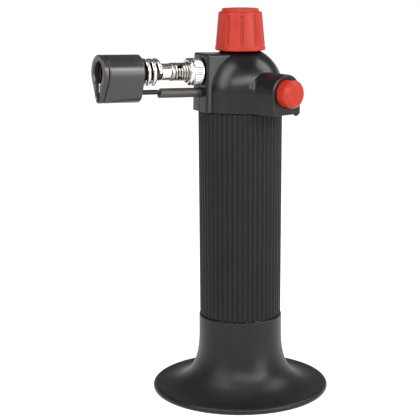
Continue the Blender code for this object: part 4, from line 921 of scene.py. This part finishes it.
def gas_knob():
    """A tapered knob. Its outer wall is pushed in by depth sqrt(1 - (d / w)^2), where d is the distance to the
    nearest groove's middle line and w half its width, which leaves grooves with round ends."""
    sizes = bpy.context.scene.torch_sizes
    low, high = (corner[2] for corner in span("gas_knob", TORCH))
    _, foot = radii("gas_knob", TORCH)
    _, crown = radii("gas_knob", TORCH, high - 0.85 * MM)
    line = knob_section(low, high, crown, foot)
    groove_low, groove_high = low + 2.6 * MM, high - 1.3 * MM
    half = sizes.groove_width / 2
    ends = np.array([-1.3, -1, -0.8, -0.6, -0.4, -0.2, 0, 0.3, 0.7, 1.2, 2]) * half
    between = np.linspace(groove_high - 2.5 * half, groove_low + 2.5 * half, 10)
    cuts = np.concatenate([groove_high - ends, between, groove_low + ends[::-1]])
    wall_top, wall_low = (crown, high - KNOB_SHOULDER - 0.45 * MM), (foot - 0.25 * MM, low + 1.8 * MM)
    slope = (wall_low[0] - wall_top[0]) / (wall_low[1] - wall_top[1])
    wall = np.column_stack([wall_top[0] + slope * (cuts - wall_top[1]), cuts])
    split = int(np.argmax(line[:, 1] < groove_high - 1 * MM))
    line = np.vstack([line[:split], wall, line[split:]])
    pitch = TAU / sizes.knob_grooves
    mean = (crown + foot) / 2
    fine = 1.25 * half / mean
    offsets = np.concatenate([np.linspace(-fine, fine, 17), np.linspace(fine, pitch - fine, 12)[1:-1]])
    turn = (sizes.groove_turn + np.arange(sizes.knob_grooves)[:, None] * pitch + offsets[None]).ravel()
    aside = np.tile(np.where(offsets > pitch / 2, offsets - pitch, offsets), sizes.knob_grooves)
    outer = (line[:, 0] > mean - 1.6 * MM) & (line[:, 1] > low + 1.6 * MM)
    beyond = np.maximum(0, np.maximum(groove_low + half - line[:, 1], line[:, 1] - groove_high + half))
    away = np.hypot(line[:, :1] * np.abs(aside), beyond[:, None])
    dip = np.sqrt(np.clip(1 - (away / half) ** 2, 0, 1)) * outer[:, None]
    radius = line[:, :1] - sizes.groove_depth * dip
    grid = np.dstack([radius * np.cos(turn), radius * np.sin(turn), np.repeat(line[:, 1:], len(turn), 1)])
    # dip also marks the grooves where the red finish paints shade
    piece = add_surface("knob", grid, TORCH, loop_rows=True, attribute=("hollow", dip))
    settle(piece, "gas_knob", "red", "gas_knob")


def knob_cap():
    """The knob's lid: a low disc with a rounded edge and a raised bar that shows where the knob points."""
    low, high = span("knob_cap", TORCH)
    top, radius = high[2] - CAP_STEP, high[0]
    corners = [(0, top, 0), (radius - 0.15 * MM, top, 0.35 * MM), (radius, low[2], 0.2 * MM), (0, low[2], 0)]
    piece = turned("cap", corners, TORCH, 128)
    ends = (-0.8 * MM, 1.2 * MM - radius, top - 0.6 * MM), (0.8 * MM, -2 * MM, high[2])
    combine(piece, solid_box("bar", *ends, TORCH, 0.25 * MM), "UNION")
    settle(piece, "gas_knob", "red", "knob_cap")


def ignition_button():
    """A hollow push button with a flat face, a rounded chamfer and a flange that holds it in the tower."""
    low, high = span("ignition_button", BUTTON)
    face, back = high[2], low[2]
    reach = head_sizes()["reach"]
    radius = radii("ignition_button", BUTTON, reach)[1] - 0.15 * MM
    _, flange = radii("ignition_button", BUTTON)
    corners = [
        (0, face, 0),
        (radius - BUTTON_CHAMFER, face, 0.5 * MM),
        (radius, face - BUTTON_CHAMFER, 0.6 * MM),
        (radius, back + 1 * MM, 0),
        (flange, back + 1 * MM, 0.1 * MM),
        (flange, back, 0.1 * MM),
        (radius - BUTTON_WALL, back, 0.1 * MM),
        (radius - BUTTON_WALL, face - BUTTON_ROOF, 0.4 * MM),
        (0, face - BUTTON_ROOF, 0),
    ]
    settle(turned("button", corners, BUTTON, 112), "ignition_button", "red", "ignition_button")


# ---------------------------------------------------------------- burner


def air_collar():
    """The knurled collar: radius = R - depth |cos(n t / 2)|^3 on the knurled band, faded out at both of its ends,
    with a smooth rim and a turned groove in front of it."""
    sizes = bpy.context.scene.torch_sizes
    low, high = span("air_collar", BURNER)
    back, front, radius = low[2], high[2], high[0]
    bore, _ = radii("air_collar", BURNER)
    rim = front - RIM_WIDTH
    ring_high, ring_low, ring_depth = front - RING_SEAT[0], front - RING_SEAT[1], RING_SEAT[2]
    corners = [
        (bore + 0.3 * MM, front, 0),
        (radius - 0.8 * MM, front, 0.15 * MM),
        (radius, front - 0.7 * MM, 0.3 * MM),
        (radius, rim + 0.25 * MM, 0.1 * MM),
        (radius - RIM_GROOVE, rim + 0.12 * MM, 0.05 * MM),
        (radius - RIM_GROOVE, rim - 0.12 * MM, 0.05 * MM),
        (radius, rim - 0.25 * MM, 0.1 * MM),
        (radius, back, 0.6 * MM),
        (bore + 0.3 * MM, back, 0),
        (bore, back + 0.3 * MM, 0),
        (bore, ring_low, 0),
        (bore + ring_depth, ring_low, 0),
        (bore + ring_depth, ring_high, 0),
        (bore, ring_high, 0),
        (bore, front - 0.3 * MM, 0),
    ]
    line = rounded(corners, 6)
    band_low, band_high = back + 0.7 * MM, rim - 0.35 * MM
    cuts = np.linspace(band_high, band_low, 14)
    split = int(np.argmax(line[:, 1] < band_high - 1 * MM))
    line = np.vstack([line[:split], np.column_stack([np.full(len(cuts), radius), cuts]), line[split:]])
    columns = sizes.knurls * KNURL_STEPS
    turn = np.arange(columns) * TAU / columns
    inside = np.clip((line[:, 1] - band_low) / (0.3 * MM), 0, 1)
    inside = inside * np.clip((band_high - line[:, 1]) / (0.2 * MM), 0, 1) * (line[:, 0] > radius - 0.1 * MM)
    notch = np.abs(np.cos(sizes.knurls * turn / 2)) ** 3
    across = 0.25 * np.abs(np.cos(math.pi * (line[:, 1] - band_low) / (0.55 * MM))) ** 6
    dip = inside[:, None] * np.maximum(notch[None], across[:, None])
    reach = line[:, :1] - sizes.knurl_depth * dip
    grid = np.dstack([reach * np.cos(turn), reach * np.sin(turn), np.repeat(line[:, 1:], len(turn), 1)])
    # dip also marks the knurls' valleys where the nickel finish paints shade
    piece = add_surface("collar", grid, BURNER, loop_rows=True, attribute=("hollow", dip))
    settle(piece, "air_collar", "nickel", "air_collar")


def mixing_tube():
    """The threaded tube: radius = R - depth s, where s is a rounded triangle wave of (z / pitch - t / turn), faded
    out towards its ends, and four air holes are bored through it."""
    sizes = bpy.context.scene.torch_sizes
    low, high = span("mixer_tube", BURNER)
    back, front, radius = low[2], high[2], high[0]
    bore, _ = radii("mixer_tube", BURNER)
    columns = THREAD_COLUMNS
    turn = np.arange(columns) * TAU / columns
    height = np.linspace(front, back, THREAD_ROWS)
    phase = height[:, None] / sizes.thread_pitch - turn[None] / TAU
    wave = np.abs(2 * (phase - np.floor(phase + 0.5)))
    thread = np.clip(wave * 1.25 - 0.12, 0, 1)
    fade = np.clip((front - 0.9 * MM - height) / (0.5 * MM), 0, 1) * np.clip((height - back) / (0.4 * MM), 0, 1)
    chamfer = np.maximum(0, 0.3 * MM - (front - height)) + np.maximum(0, 0.3 * MM - (height - back))
    reach = radius - sizes.thread_depth * thread * fade[:, None] - chamfer[:, None]
    reach = np.vstack([reach, np.full((2, columns), bore)])
    # the thread's valleys, where the finish paints shade
    hollow = np.vstack([thread * fade[:, None], np.zeros((2, columns))])
    height = np.concatenate([height, [back, front]])
    grid = np.dstack([reach * np.cos(turn), reach * np.sin(turn), np.repeat(height[:, None], columns, 1)])
    piece = add_surface("mixing_tube", grid, BURNER, loop_rows=True, attribute=("hollow", hollow))
    place = BURNER[:3, 3] + BURNER[:3, 2] * (head_sizes()["front"] + AIR_HOLE_PLACE)
    for quarter in (math.radians(45), math.radians(135)):
        away = BURNER[:3, 0] * math.cos(quarter) + BURNER[:3, 1] * math.sin(quarter)
        combine(piece, solid_rod("air_hole", AIR_HOLE_RADIUS, -6 * MM, 6 * MM, axes_at(place, away), 40))
    settle(piece, "torch", "nickel", "mixer_tube", look="threaded")


def burner_tubes():
    """The smooth socket in front of the thread, and the flame tube with its wider mouth inside the shroud."""
    low, high = span("burner_socket", BURNER)
    back, front, radius = low[2], high[2], high[0]
    bore, _ = radii("burner_socket", BURNER)
    corners = [
        (bore, front, 0.1 * MM),
        (radius, front, 0.35 * MM),
        (radius, back, 0.3 * MM),
        (bore, back, 0.1 * MM),
    ]
    settle(turned("socket", corners, BURNER, 96, ring=True), "torch", "nickel", "burner_socket")
    low, high = span("flame_tube", BURNER)
    back, front, mouth = low[2], high[2], high[0]
    inner, radius = radii("flame_tube", BURNER, -1, back + 0.1 * MM)
    step = span("shroud_body", BURNER)[0][2] + SHROUD_WALL + 4 * GAP
    sheet = radius - inner
    corners = [
        (mouth - sheet, front, 0.15 * MM),
        (mouth, front, 0.15 * MM),
        (mouth, step, 0.2 * MM),
        (radius, step - GAP, 0.1 * MM),
        (radius, back, 0.1 * MM),
        (inner, back, 0.1 * MM),
        (inner, step + 1 * MM, 0.5 * MM),
        (mouth - sheet, step + 2 * MM, 0.5 * MM),
    ]
    piece = turned("burner_tube", corners, BURNER, 96, ring=True)
    settle(piece, "torch", "steel", "flame_tube", look="heated")


def heat_coil():
    """The helix of thick wire round the flame tube, its two ends rounded off."""
    turns = bpy.context.scene.torch_sizes.coil_turns
    settle(helix("coil", "heat_coil", BURNER, turns, 48, 24), "torch", "nickel", "heat_coil")


# ---------------------------------------------------------------- shroud and ignition


def rim_line(front, back, crisp, soft):
    """(inset, distance) lines of the shroud's two rims: quarter circles at the front and at the back."""
    quarter = np.linspace(0, math.pi / 2, 9)
    front_edge = np.column_stack([crisp * (1 - np.sin(quarter)), front - crisp * (1 - np.cos(quarter))])
    back_edge = np.column_stack([soft * (1 - np.cos(quarter)), back + soft * (1 - np.sin(quarter))])
    return front_edge, back_edge


def shroud_body():
    """The shroud's body: the outline's tip grows from front to back, tip = front + (back - front) s (2 - s)."""
    low, high = span("shroud_body", BURNER)
    back, front = low[2], high[2]
    front_edge, back_edge = rim_line(front, back, 0.45 * MM, 0.6 * MM)
    flank = np.column_stack([np.zeros(12), np.linspace(front - 1 * MM, back + 1 * MM, 12)])
    line = np.vstack([front_edge, flank, back_edge])
    share = np.clip((front - line[:, 1]) / (front - back), 0, 1)
    tips = SHROUD_TIP_RADIUS + (SHROUD_BACK_TIP - SHROUD_TIP_RADIUS) * share * (2 - share)
    body = teardrop_solid("shroud", line, tips)
    room = np.array([(SHROUD_WALL, front + PAST), (SHROUD_WALL, back + SHROUD_WALL)])
    combine(body, teardrop_solid("shroud_room", room, [SHROUD_TIP_RADIUS] * 2))
    ends = (back - PAST, back + SHROUD_WALL + 1 * MM)
    for label, node, grow in (("tube_way", "burner_socket", 0.2 * MM), ("lead_way", "lead_tube", GAP)):
        low, high = span(node, BURNER)
        radius = (high[0] - low[0]) / 2 + grow
        combine(body, solid_rod(label, radius, *ends, BURNER, 64, (0, (low[1] + high[1]) / 2)))
    settle(body, "torch", "satin_black", "shroud_body", look="hood")


def keyhole(bottom, front, back):
    """The keyhole that is cut through the ring: an arc, two upright sides and a half circle about the bottom point,
    widened towards the front."""
    start = math.asin(KEYHOLE_SLOT / KEYHOLE_RADIUS) - math.pi / 2
    turn = np.linspace(start, math.pi - start, 48)
    circle = KEYHOLE_RADIUS * np.column_stack([np.cos(turn), np.sin(turn)])
    turn = np.linspace(math.pi, TAU, 20)
    foot = KEYHOLE_SLOT * np.column_stack([np.cos(turn), np.sin(turn)]) + np.array((0, bottom))
    outline = np.vstack([circle, foot])
    aside = unit_rows(outline - np.where(outline[:, 1:] > bottom, (0.0, 0.0), (0.0, bottom)))
    flare = (
        (KEYHOLE_FLARE, front + 0.3 * MM),
        (KEYHOLE_FLARE, front - 0.02 * MM),
        (0, front - 0.65 * MM),
        (0, back - 1 * MM),
    )
    rows = [np.column_stack([outline + aside * grow, np.full(len(outline), along)]) for grow, along in flare]
    return add_surface("keyhole", np.stack(rows), BURNER, caps=True)


def shroud_ring():
    """The ring with the keyhole that closes the shroud's front."""
    low, high = span("shroud_ring", BURNER)
    line = np.vstack(rim_line(high[2], low[2], 0.5 * MM, 0.25 * MM))
    ring = teardrop_solid("shroud_front", line, [SHROUD_TIP_RADIUS] * len(line))
    combine(ring, keyhole(low[1] + SHROUD_TIP_RADIUS + 0.6 * MM, high[2], low[2]))
    settle(ring, "torch", "satin_black", "shroud_ring", look="hood")


def axes_below(height):
    """The burner's axes moved up or down along their own Y."""
    axes = BURNER.copy()
    axes[:3, 3] += axes[:3, 1] * height
    return axes


def round_node(node):
    """Ends along the burner, radius, bore and own axes of a round CAD node that lies beside the burner."""
    low, high = span(node, BURNER)
    axes = axes_below((low[1] + high[1]) / 2)
    return low[2], high[2], (high[0] - low[0]) / 2, radii(node, axes)[0], axes


def lead_tubes():
    """The thick sleeve out of the head, cut aslant at its end, and the thin tube that runs on into the shroud: the
    end's rows are moved along the axis in step with their height."""
    back, front, radius, bore, axes = round_node("lead_sleeve")
    corners = [
        (bore, front, 0.1 * MM),
        (radius, front, 0.3 * MM),
        (radius, front - SLEEVE_CUT, 0),
        (radius, back, 0),
        (bore, back, 0),
        (bore, front - SLEEVE_CUT, 0),
    ]
    line = rounded(corners)
    grid = revolve(line, 56)
    near = np.clip((line[:, 1] - front + SLEEVE_CUT) / SLEEVE_CUT, 0, 1)[:, None]
    grid[..., 2] = grid[..., 2] - near * SLEEVE_SLANT * (1 + grid[..., 1] / radius) / 2
    piece = add_surface("sleeve", grid, axes, loop_rows=True)
    settle(piece, "torch", "satin_black", "lead_sleeve", look="sleeve")
    back, front, radius, bore, axes = round_node("lead_tube")
    corners = [(bore, front, 0), (radius, front, 0.2 * MM), (radius, back, 0.2 * MM), (bore, back, 0)]
    settle(turned("thin_tube", corners, axes, 48, ring=True), "torch", "satin_black", "lead_tube")


def electrode():
    """The spark wire: straight, then a quarter circle up, then straight to its tip; and the ceramic round it."""
    low, high = span("electrode", BURNER)
    wire, bend = high[0], SPARK_BEND
    height, front, tip = low[1] + wire, high[2] - wire, high[1]
    turn = np.linspace(0, math.pi / 2, 12)
    level = np.column_stack([np.full(8, height), np.linspace(low[2], front - bend, 8)])
    curve = np.column_stack([height + bend * (1 - np.cos(turn)), front - bend + bend * np.sin(turn)])[1:]
    rise = np.column_stack([np.linspace(height + bend, tip, 8), np.full(8, front)])[1:]
    path = np.vstack([level, curve, rise])
    path = np.column_stack([np.zeros(len(path)), path])
    settle(swept("spark_wire", path, wire, BURNER), "torch", "steel", "electrode")
    back, front, radius, bore, axes = round_node("electrode_insulator")
    corners = [(bore, front, 0.1 * MM), (radius, front, 0.4 * MM), (radius, back, 0.2 * MM), (bore, back, 0)]
    piece = turned("insulator", corners, axes, 48, ring=True)
    settle(piece, "torch", "ceramic", "electrode_insulator")


def spring(name, node, axes):
    """A helix of thin wire from one end of the CAD node to the other, given a mesh of its own."""
    low, high = (corner[2] for corner in span(node, axes))
    piece = helix(name, node, axes, SPRING_TURNS, 28, 10)
    settle(piece, "torch", "steel", node)
    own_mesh(piece)


def springs():
    """The spring behind the push button and the one round the filler's stem."""
    spring("button_spring", "piezo_spring", BUTTON)
    spring("filler_spring", "refill_spring", TORCH)


def carried_over():
    """Gives each CAD node that still shows the finish of its slot in the record."""
    slots = {part["node"]: part["material_slot"] for part in frame["record"]["subparts"]}
    for node, part in frame["nodes"].items():
        if not part.hide_render:
            part.data.materials.clear()
            part.data.materials.append(finish("heated" if node == "flame_disc" else slots[node]))
            smooth(part, 35)


# ---------------------------------------------------------------- stage

CAMERA_AZIMUTH = math.radians(62)
CAMERA_REACH = 0.590
CAMERA_HEIGHT = 0.208
CAMERA_PITCH = math.radians(11.9)
CAMERA_LENS = 113.9
CAMERA_SHIFT = -0.072
FLOOR_RADIUS = 9.0
FLOOR_GLOW = 0.93
HORIZON = (0.1, 0.2)  # the heights between which the world's light fades
SKY_LIGHT = (0.95, 0.18)  # strength below and above the horizon band
TARGETS = {"head": (0, AXIS_Y, 0.14), "foot": (0, AXIS_Y, 0.02)}
SOFTBOX_REACH = 0.9
# name; how far right of the torch, before it and above it, seen from the camera; target; width and height; watts
SOFTBOXES = (
    ("left_box", -0.52, 0.46, 0.6, "head", (0.34, 0.95), 6.2),
    ("right_box", 0.72, -0.15, 0.66, "head", (0.42, 0.5), 3.8),
    ("side_box", 0.82, 0.56, 0.22, "head", (0.4, 0.55), 3.8),
    ("front_box", 0.3, 0.8, 0.52, "foot", (1.5, 0.3), 11.0),
)


def softbox(name, place, target, size, power):
    """An area light of a width and height at a place, turned to its target."""
    data = bpy.data.lights.new(name, "AREA")
    data.shape = "RECTANGLE"
    data.size, data.size_y = size
    data.energy = power
    lamp = bpy.data.objects.new(name, data)
    lamp.location = place
    lamp.rotation_euler = (Vector(target) - Vector(place)).to_track_quat("-Z", "Y").to_euler()
    bpy.context.scene.collection.objects.link(lamp)


def glowing_floor():
    """A pale round floor that glows a little, so that it stays even."""
    shape = bmesh.new()
    bmesh.ops.create_circle(shape, cap_ends=True, segments=96, radius=FLOOR_RADIUS)
    mesh = bpy.data.meshes.new("floor")
    shape.to_mesh(mesh)
    shape.free()
    floor = bpy.data.objects.new("floor", mesh)
    bpy.context.scene.collection.objects.link(floor)
    paper = Recipe("floor").finish(
        Base_Color=(0.35, 0.35, 0.35, 1),
        Roughness=0.9,
        Specular_IOR_Level=0.1,
        Emission_Color=(1, 1, 1, 1),
        Emission_Strength=FLOOR_GLOW,
    )
    mesh.materials.append(paper)


def studio_world():
    """A dim white world that brightens towards the horizon, where it meets the floor."""
    world = bpy.data.worlds.new("studio")
    world.use_nodes = True
    nodes, links = world.node_tree.nodes, world.node_tree.links
    parts = nodes.new("ShaderNodeSeparateXYZ")
    fade = nodes.new("ShaderNodeMapRange")
    for key, value in zip(("From Min", "From Max", "To Min", "To Max"), (*HORIZON, *SKY_LIGHT)):
        fade.inputs[key].default_value = value
    links.new(nodes.new("ShaderNodeTexCoord").outputs["Generated"], parts.inputs[0])
    links.new(parts.outputs["Z"], fade.inputs["Value"])
    links.new(fade.outputs[0], nodes["Background"].inputs["Strength"])
    nodes["Background"].inputs["Color"].default_value = (1, 1, 1, 1)
    bpy.context.scene.world = world


def stage():
    """The floor, the world, soft boxes round the torch, and the camera."""
    glowing_floor()
    studio_world()
    away = np.array((math.sin(CAMERA_AZIMUTH), -math.cos(CAMERA_AZIMUTH), 0))
    right = np.array((math.cos(CAMERA_AZIMUTH), math.sin(CAMERA_AZIMUTH), 0))
    for name, aside, towards, above, target, size, power in SOFTBOXES:
        place = (right * aside + away * towards) * SOFTBOX_REACH
        place = (place[0], place[1] + AXIS_Y, 0.1 + above * SOFTBOX_REACH)
        softbox(name, place, TARGETS[target], size, power)
    data = bpy.data.cameras.new("camera")
    data.lens = CAMERA_LENS
    data.shift_x = CAMERA_SHIFT
    camera = bpy.data.objects.new("camera", data)
    camera.location = tuple(away * CAMERA_REACH + np.array((0, AXIS_Y, CAMERA_HEIGHT)))
    camera.rotation_euler = (math.pi / 2 - CAMERA_PITCH, 0, CAMERA_AZIMUTH)
    bpy.context.scene.collection.objects.link(camera)
    bpy.context.scene.camera = camera
    bpy.context.scene.view_settings.view_transform = "Standard"


# ---------------------------------------------------------------- add-on


class TORCH_OT_stage(bpy.types.Operator):
    """Make the floor, the lights and the camera"""

    bl_idname = "torch.stage"
    bl_label = "Stage"
    bl_options = {"REGISTER", "UNDO"}

    def execute(self, context):
        stage()
        return {"FINISHED"}


class TORCH_OT_stand(bpy.types.Operator):
    """Make the stand that the torch rests on"""

    bl_idname = "torch.stand"
    bl_label = "Flared stand"
    bl_options = {"REGISTER", "UNDO"}

    def execute(self, context):
        base_stand()
        return {"FINISHED"}


class TORCH_OT_grip(bpy.types.Operator):
    """Make the ribbed sleeve round the tank"""

    bl_idname = "torch.grip"
    bl_label = "Ribbed grip"
    bl_options = {"REGISTER", "UNDO"}

    def execute(self, context):
        grip()
        return {"FINISHED"}


class TORCH_OT_tank(bpy.types.Operator):
    """Make the fuel tank and the filler valve under it"""

    bl_idname = "torch.tank"
    bl_label = "Tank and refill valve"
    bl_options = {"REGISTER", "UNDO"}

    def execute(self, context):
        tank_and_refill_valve()
        return {"FINISHED"}


class TORCH_OT_head(bpy.types.Operator):
    """Make the two halves of the head and the screws that join them"""

    bl_idname = "torch.head"
    bl_label = "Head shells and screws"
    bl_options = {"REGISTER", "UNDO"}

    def execute(self, context):
        head_shell("left")
        head_shell("right")
        head_screw("head_screw_rear")
        head_screw("head_screw_front")
        return {"FINISHED"}


class TORCH_OT_knob(bpy.types.Operator):
    """Make the grooved gas knob and its cap"""

    bl_idname = "torch.knob"
    bl_label = "Gas knob and cap"
    bl_options = {"REGISTER", "UNDO"}

    def execute(self, context):
        gas_knob()
        knob_cap()
        return {"FINISHED"}


class TORCH_OT_button(bpy.types.Operator):
    """Make the push button in the head's tower"""

    bl_idname = "torch.button"
    bl_label = "Ignition button"
    bl_options = {"REGISTER", "UNDO"}

    def execute(self, context):
        ignition_button()
        return {"FINISHED"}


class TORCH_OT_collar(bpy.types.Operator):
    """Make the knurled collar that meters the air"""

    bl_idname = "torch.collar"
    bl_label = "Air collar"
    bl_options = {"REGISTER", "UNDO"}

    def execute(self, context):
        air_collar()
        return {"FINISHED"}


class TORCH_OT_mixing_tube(bpy.types.Operator):
    """Make the threaded tube with the air holes"""

    bl_idname = "torch.mixing_tube"
    bl_label = "Mixing tube"
    bl_options = {"REGISTER", "UNDO"}

    def execute(self, context):
        mixing_tube()
        return {"FINISHED"}


class TORCH_OT_burner_tubes(bpy.types.Operator):
    """Make the burner's socket and flame tube"""

    bl_idname = "torch.burner_tubes"
    bl_label = "Burner tubes"
    bl_options = {"REGISTER", "UNDO"}

    def execute(self, context):
        burner_tubes()
        return {"FINISHED"}


class TORCH_OT_coil(bpy.types.Operator):
    """Make the wire coil behind the shroud"""

    bl_idname = "torch.coil"
    bl_label = "Heat coil"
    bl_options = {"REGISTER", "UNDO"}

    def execute(self, context):
        heat_coil()
        return {"FINISHED"}


class TORCH_OT_shroud(bpy.types.Operator):
    """Make the wind shroud and its front ring"""

    bl_idname = "torch.shroud"
    bl_label = "Shroud"
    bl_options = {"REGISTER", "UNDO"}

    def execute(self, context):
        shroud_body()
        shroud_ring()
        return {"FINISHED"}


class TORCH_OT_lead_tubes(bpy.types.Operator):
    """Make the sleeve and the thin tube over the ignition lead"""

    bl_idname = "torch.lead_tubes"
    bl_label = "Ignition lead tubes"
    bl_options = {"REGISTER", "UNDO"}

    def execute(self, context):
        lead_tubes()
        return {"FINISHED"}


class TORCH_OT_electrode(bpy.types.Operator):
    """Make the spark wire and its insulator"""

    bl_idname = "torch.electrode"
    bl_label = "Electrode"
    bl_options = {"REGISTER", "UNDO"}

    def execute(self, context):
        electrode()
        return {"FINISHED"}


class TORCH_OT_springs(bpy.types.Operator):
    """Make the two coil springs"""

    bl_idname = "torch.springs"
    bl_label = "Springs"
    bl_options = {"REGISTER", "UNDO"}

    def execute(self, context):
        springs()
        return {"FINISHED"}


class TORCH_OT_inner_pieces(bpy.types.Operator):
    """Give the CAD nodes that still show their finishes"""

    bl_idname = "torch.inner_pieces"
    bl_label = "Inner pieces"
    bl_options = {"REGISTER", "UNDO"}

    def execute(self, context):
        carried_over()
        return {"FINISHED"}


OPERATORS = (
    TORCH_OT_stage,
    TORCH_OT_stand,
    TORCH_OT_grip,
    TORCH_OT_tank,
    TORCH_OT_head,
    TORCH_OT_knob,
    TORCH_OT_button,
    TORCH_OT_collar,
    TORCH_OT_mixing_tube,
    TORCH_OT_burner_tubes,
    TORCH_OT_coil,
    TORCH_OT_shroud,
    TORCH_OT_lead_tubes,
    TORCH_OT_electrode,
    TORCH_OT_springs,
    TORCH_OT_inner_pieces,
)


class TORCH_PT_panel(bpy.types.Panel):
    """Sizes, colours and build steps of the torch."""

    bl_idname = "TORCH_PT_panel"
    bl_label = "Pocket gas torch"
    bl_space_type = "VIEW_3D"
    bl_region_type = "UI"
    bl_category = "Torch"

    def draw(self, context):
        layout = self.layout
        for group in (context.scene.torch_sizes, context.scene.torch_colours):
            box = layout.box()
            for name in group.__annotations__:
                box.prop(group, name)
        for step in OPERATORS:
            layout.operator(step.bl_idname)


CLASSES = (TorchSizes, TorchColours, *OPERATORS, TORCH_PT_panel)


def register():
    """Registers the classes and hangs the two groups of properties on the scene."""
    for kind in CLASSES:
        bpy.utils.register_class(kind)
    bpy.types.Scene.torch_sizes = PointerProperty(type=TorchSizes)
    bpy.types.Scene.torch_colours = PointerProperty(type=TorchColours)


def unregister():
    """Takes back what register did."""
    del bpy.types.Scene.torch_colours
    del bpy.types.Scene.torch_sizes
    for kind in reversed(CLASSES):
        bpy.utils.unregister_class(kind)


def main():
    """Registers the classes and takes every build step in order."""
    register()
    for step in OPERATORS:
        getattr(bpy.ops.torch, step.bl_idname.split(".")[1])()


if __name__ == "__main__":
    main()
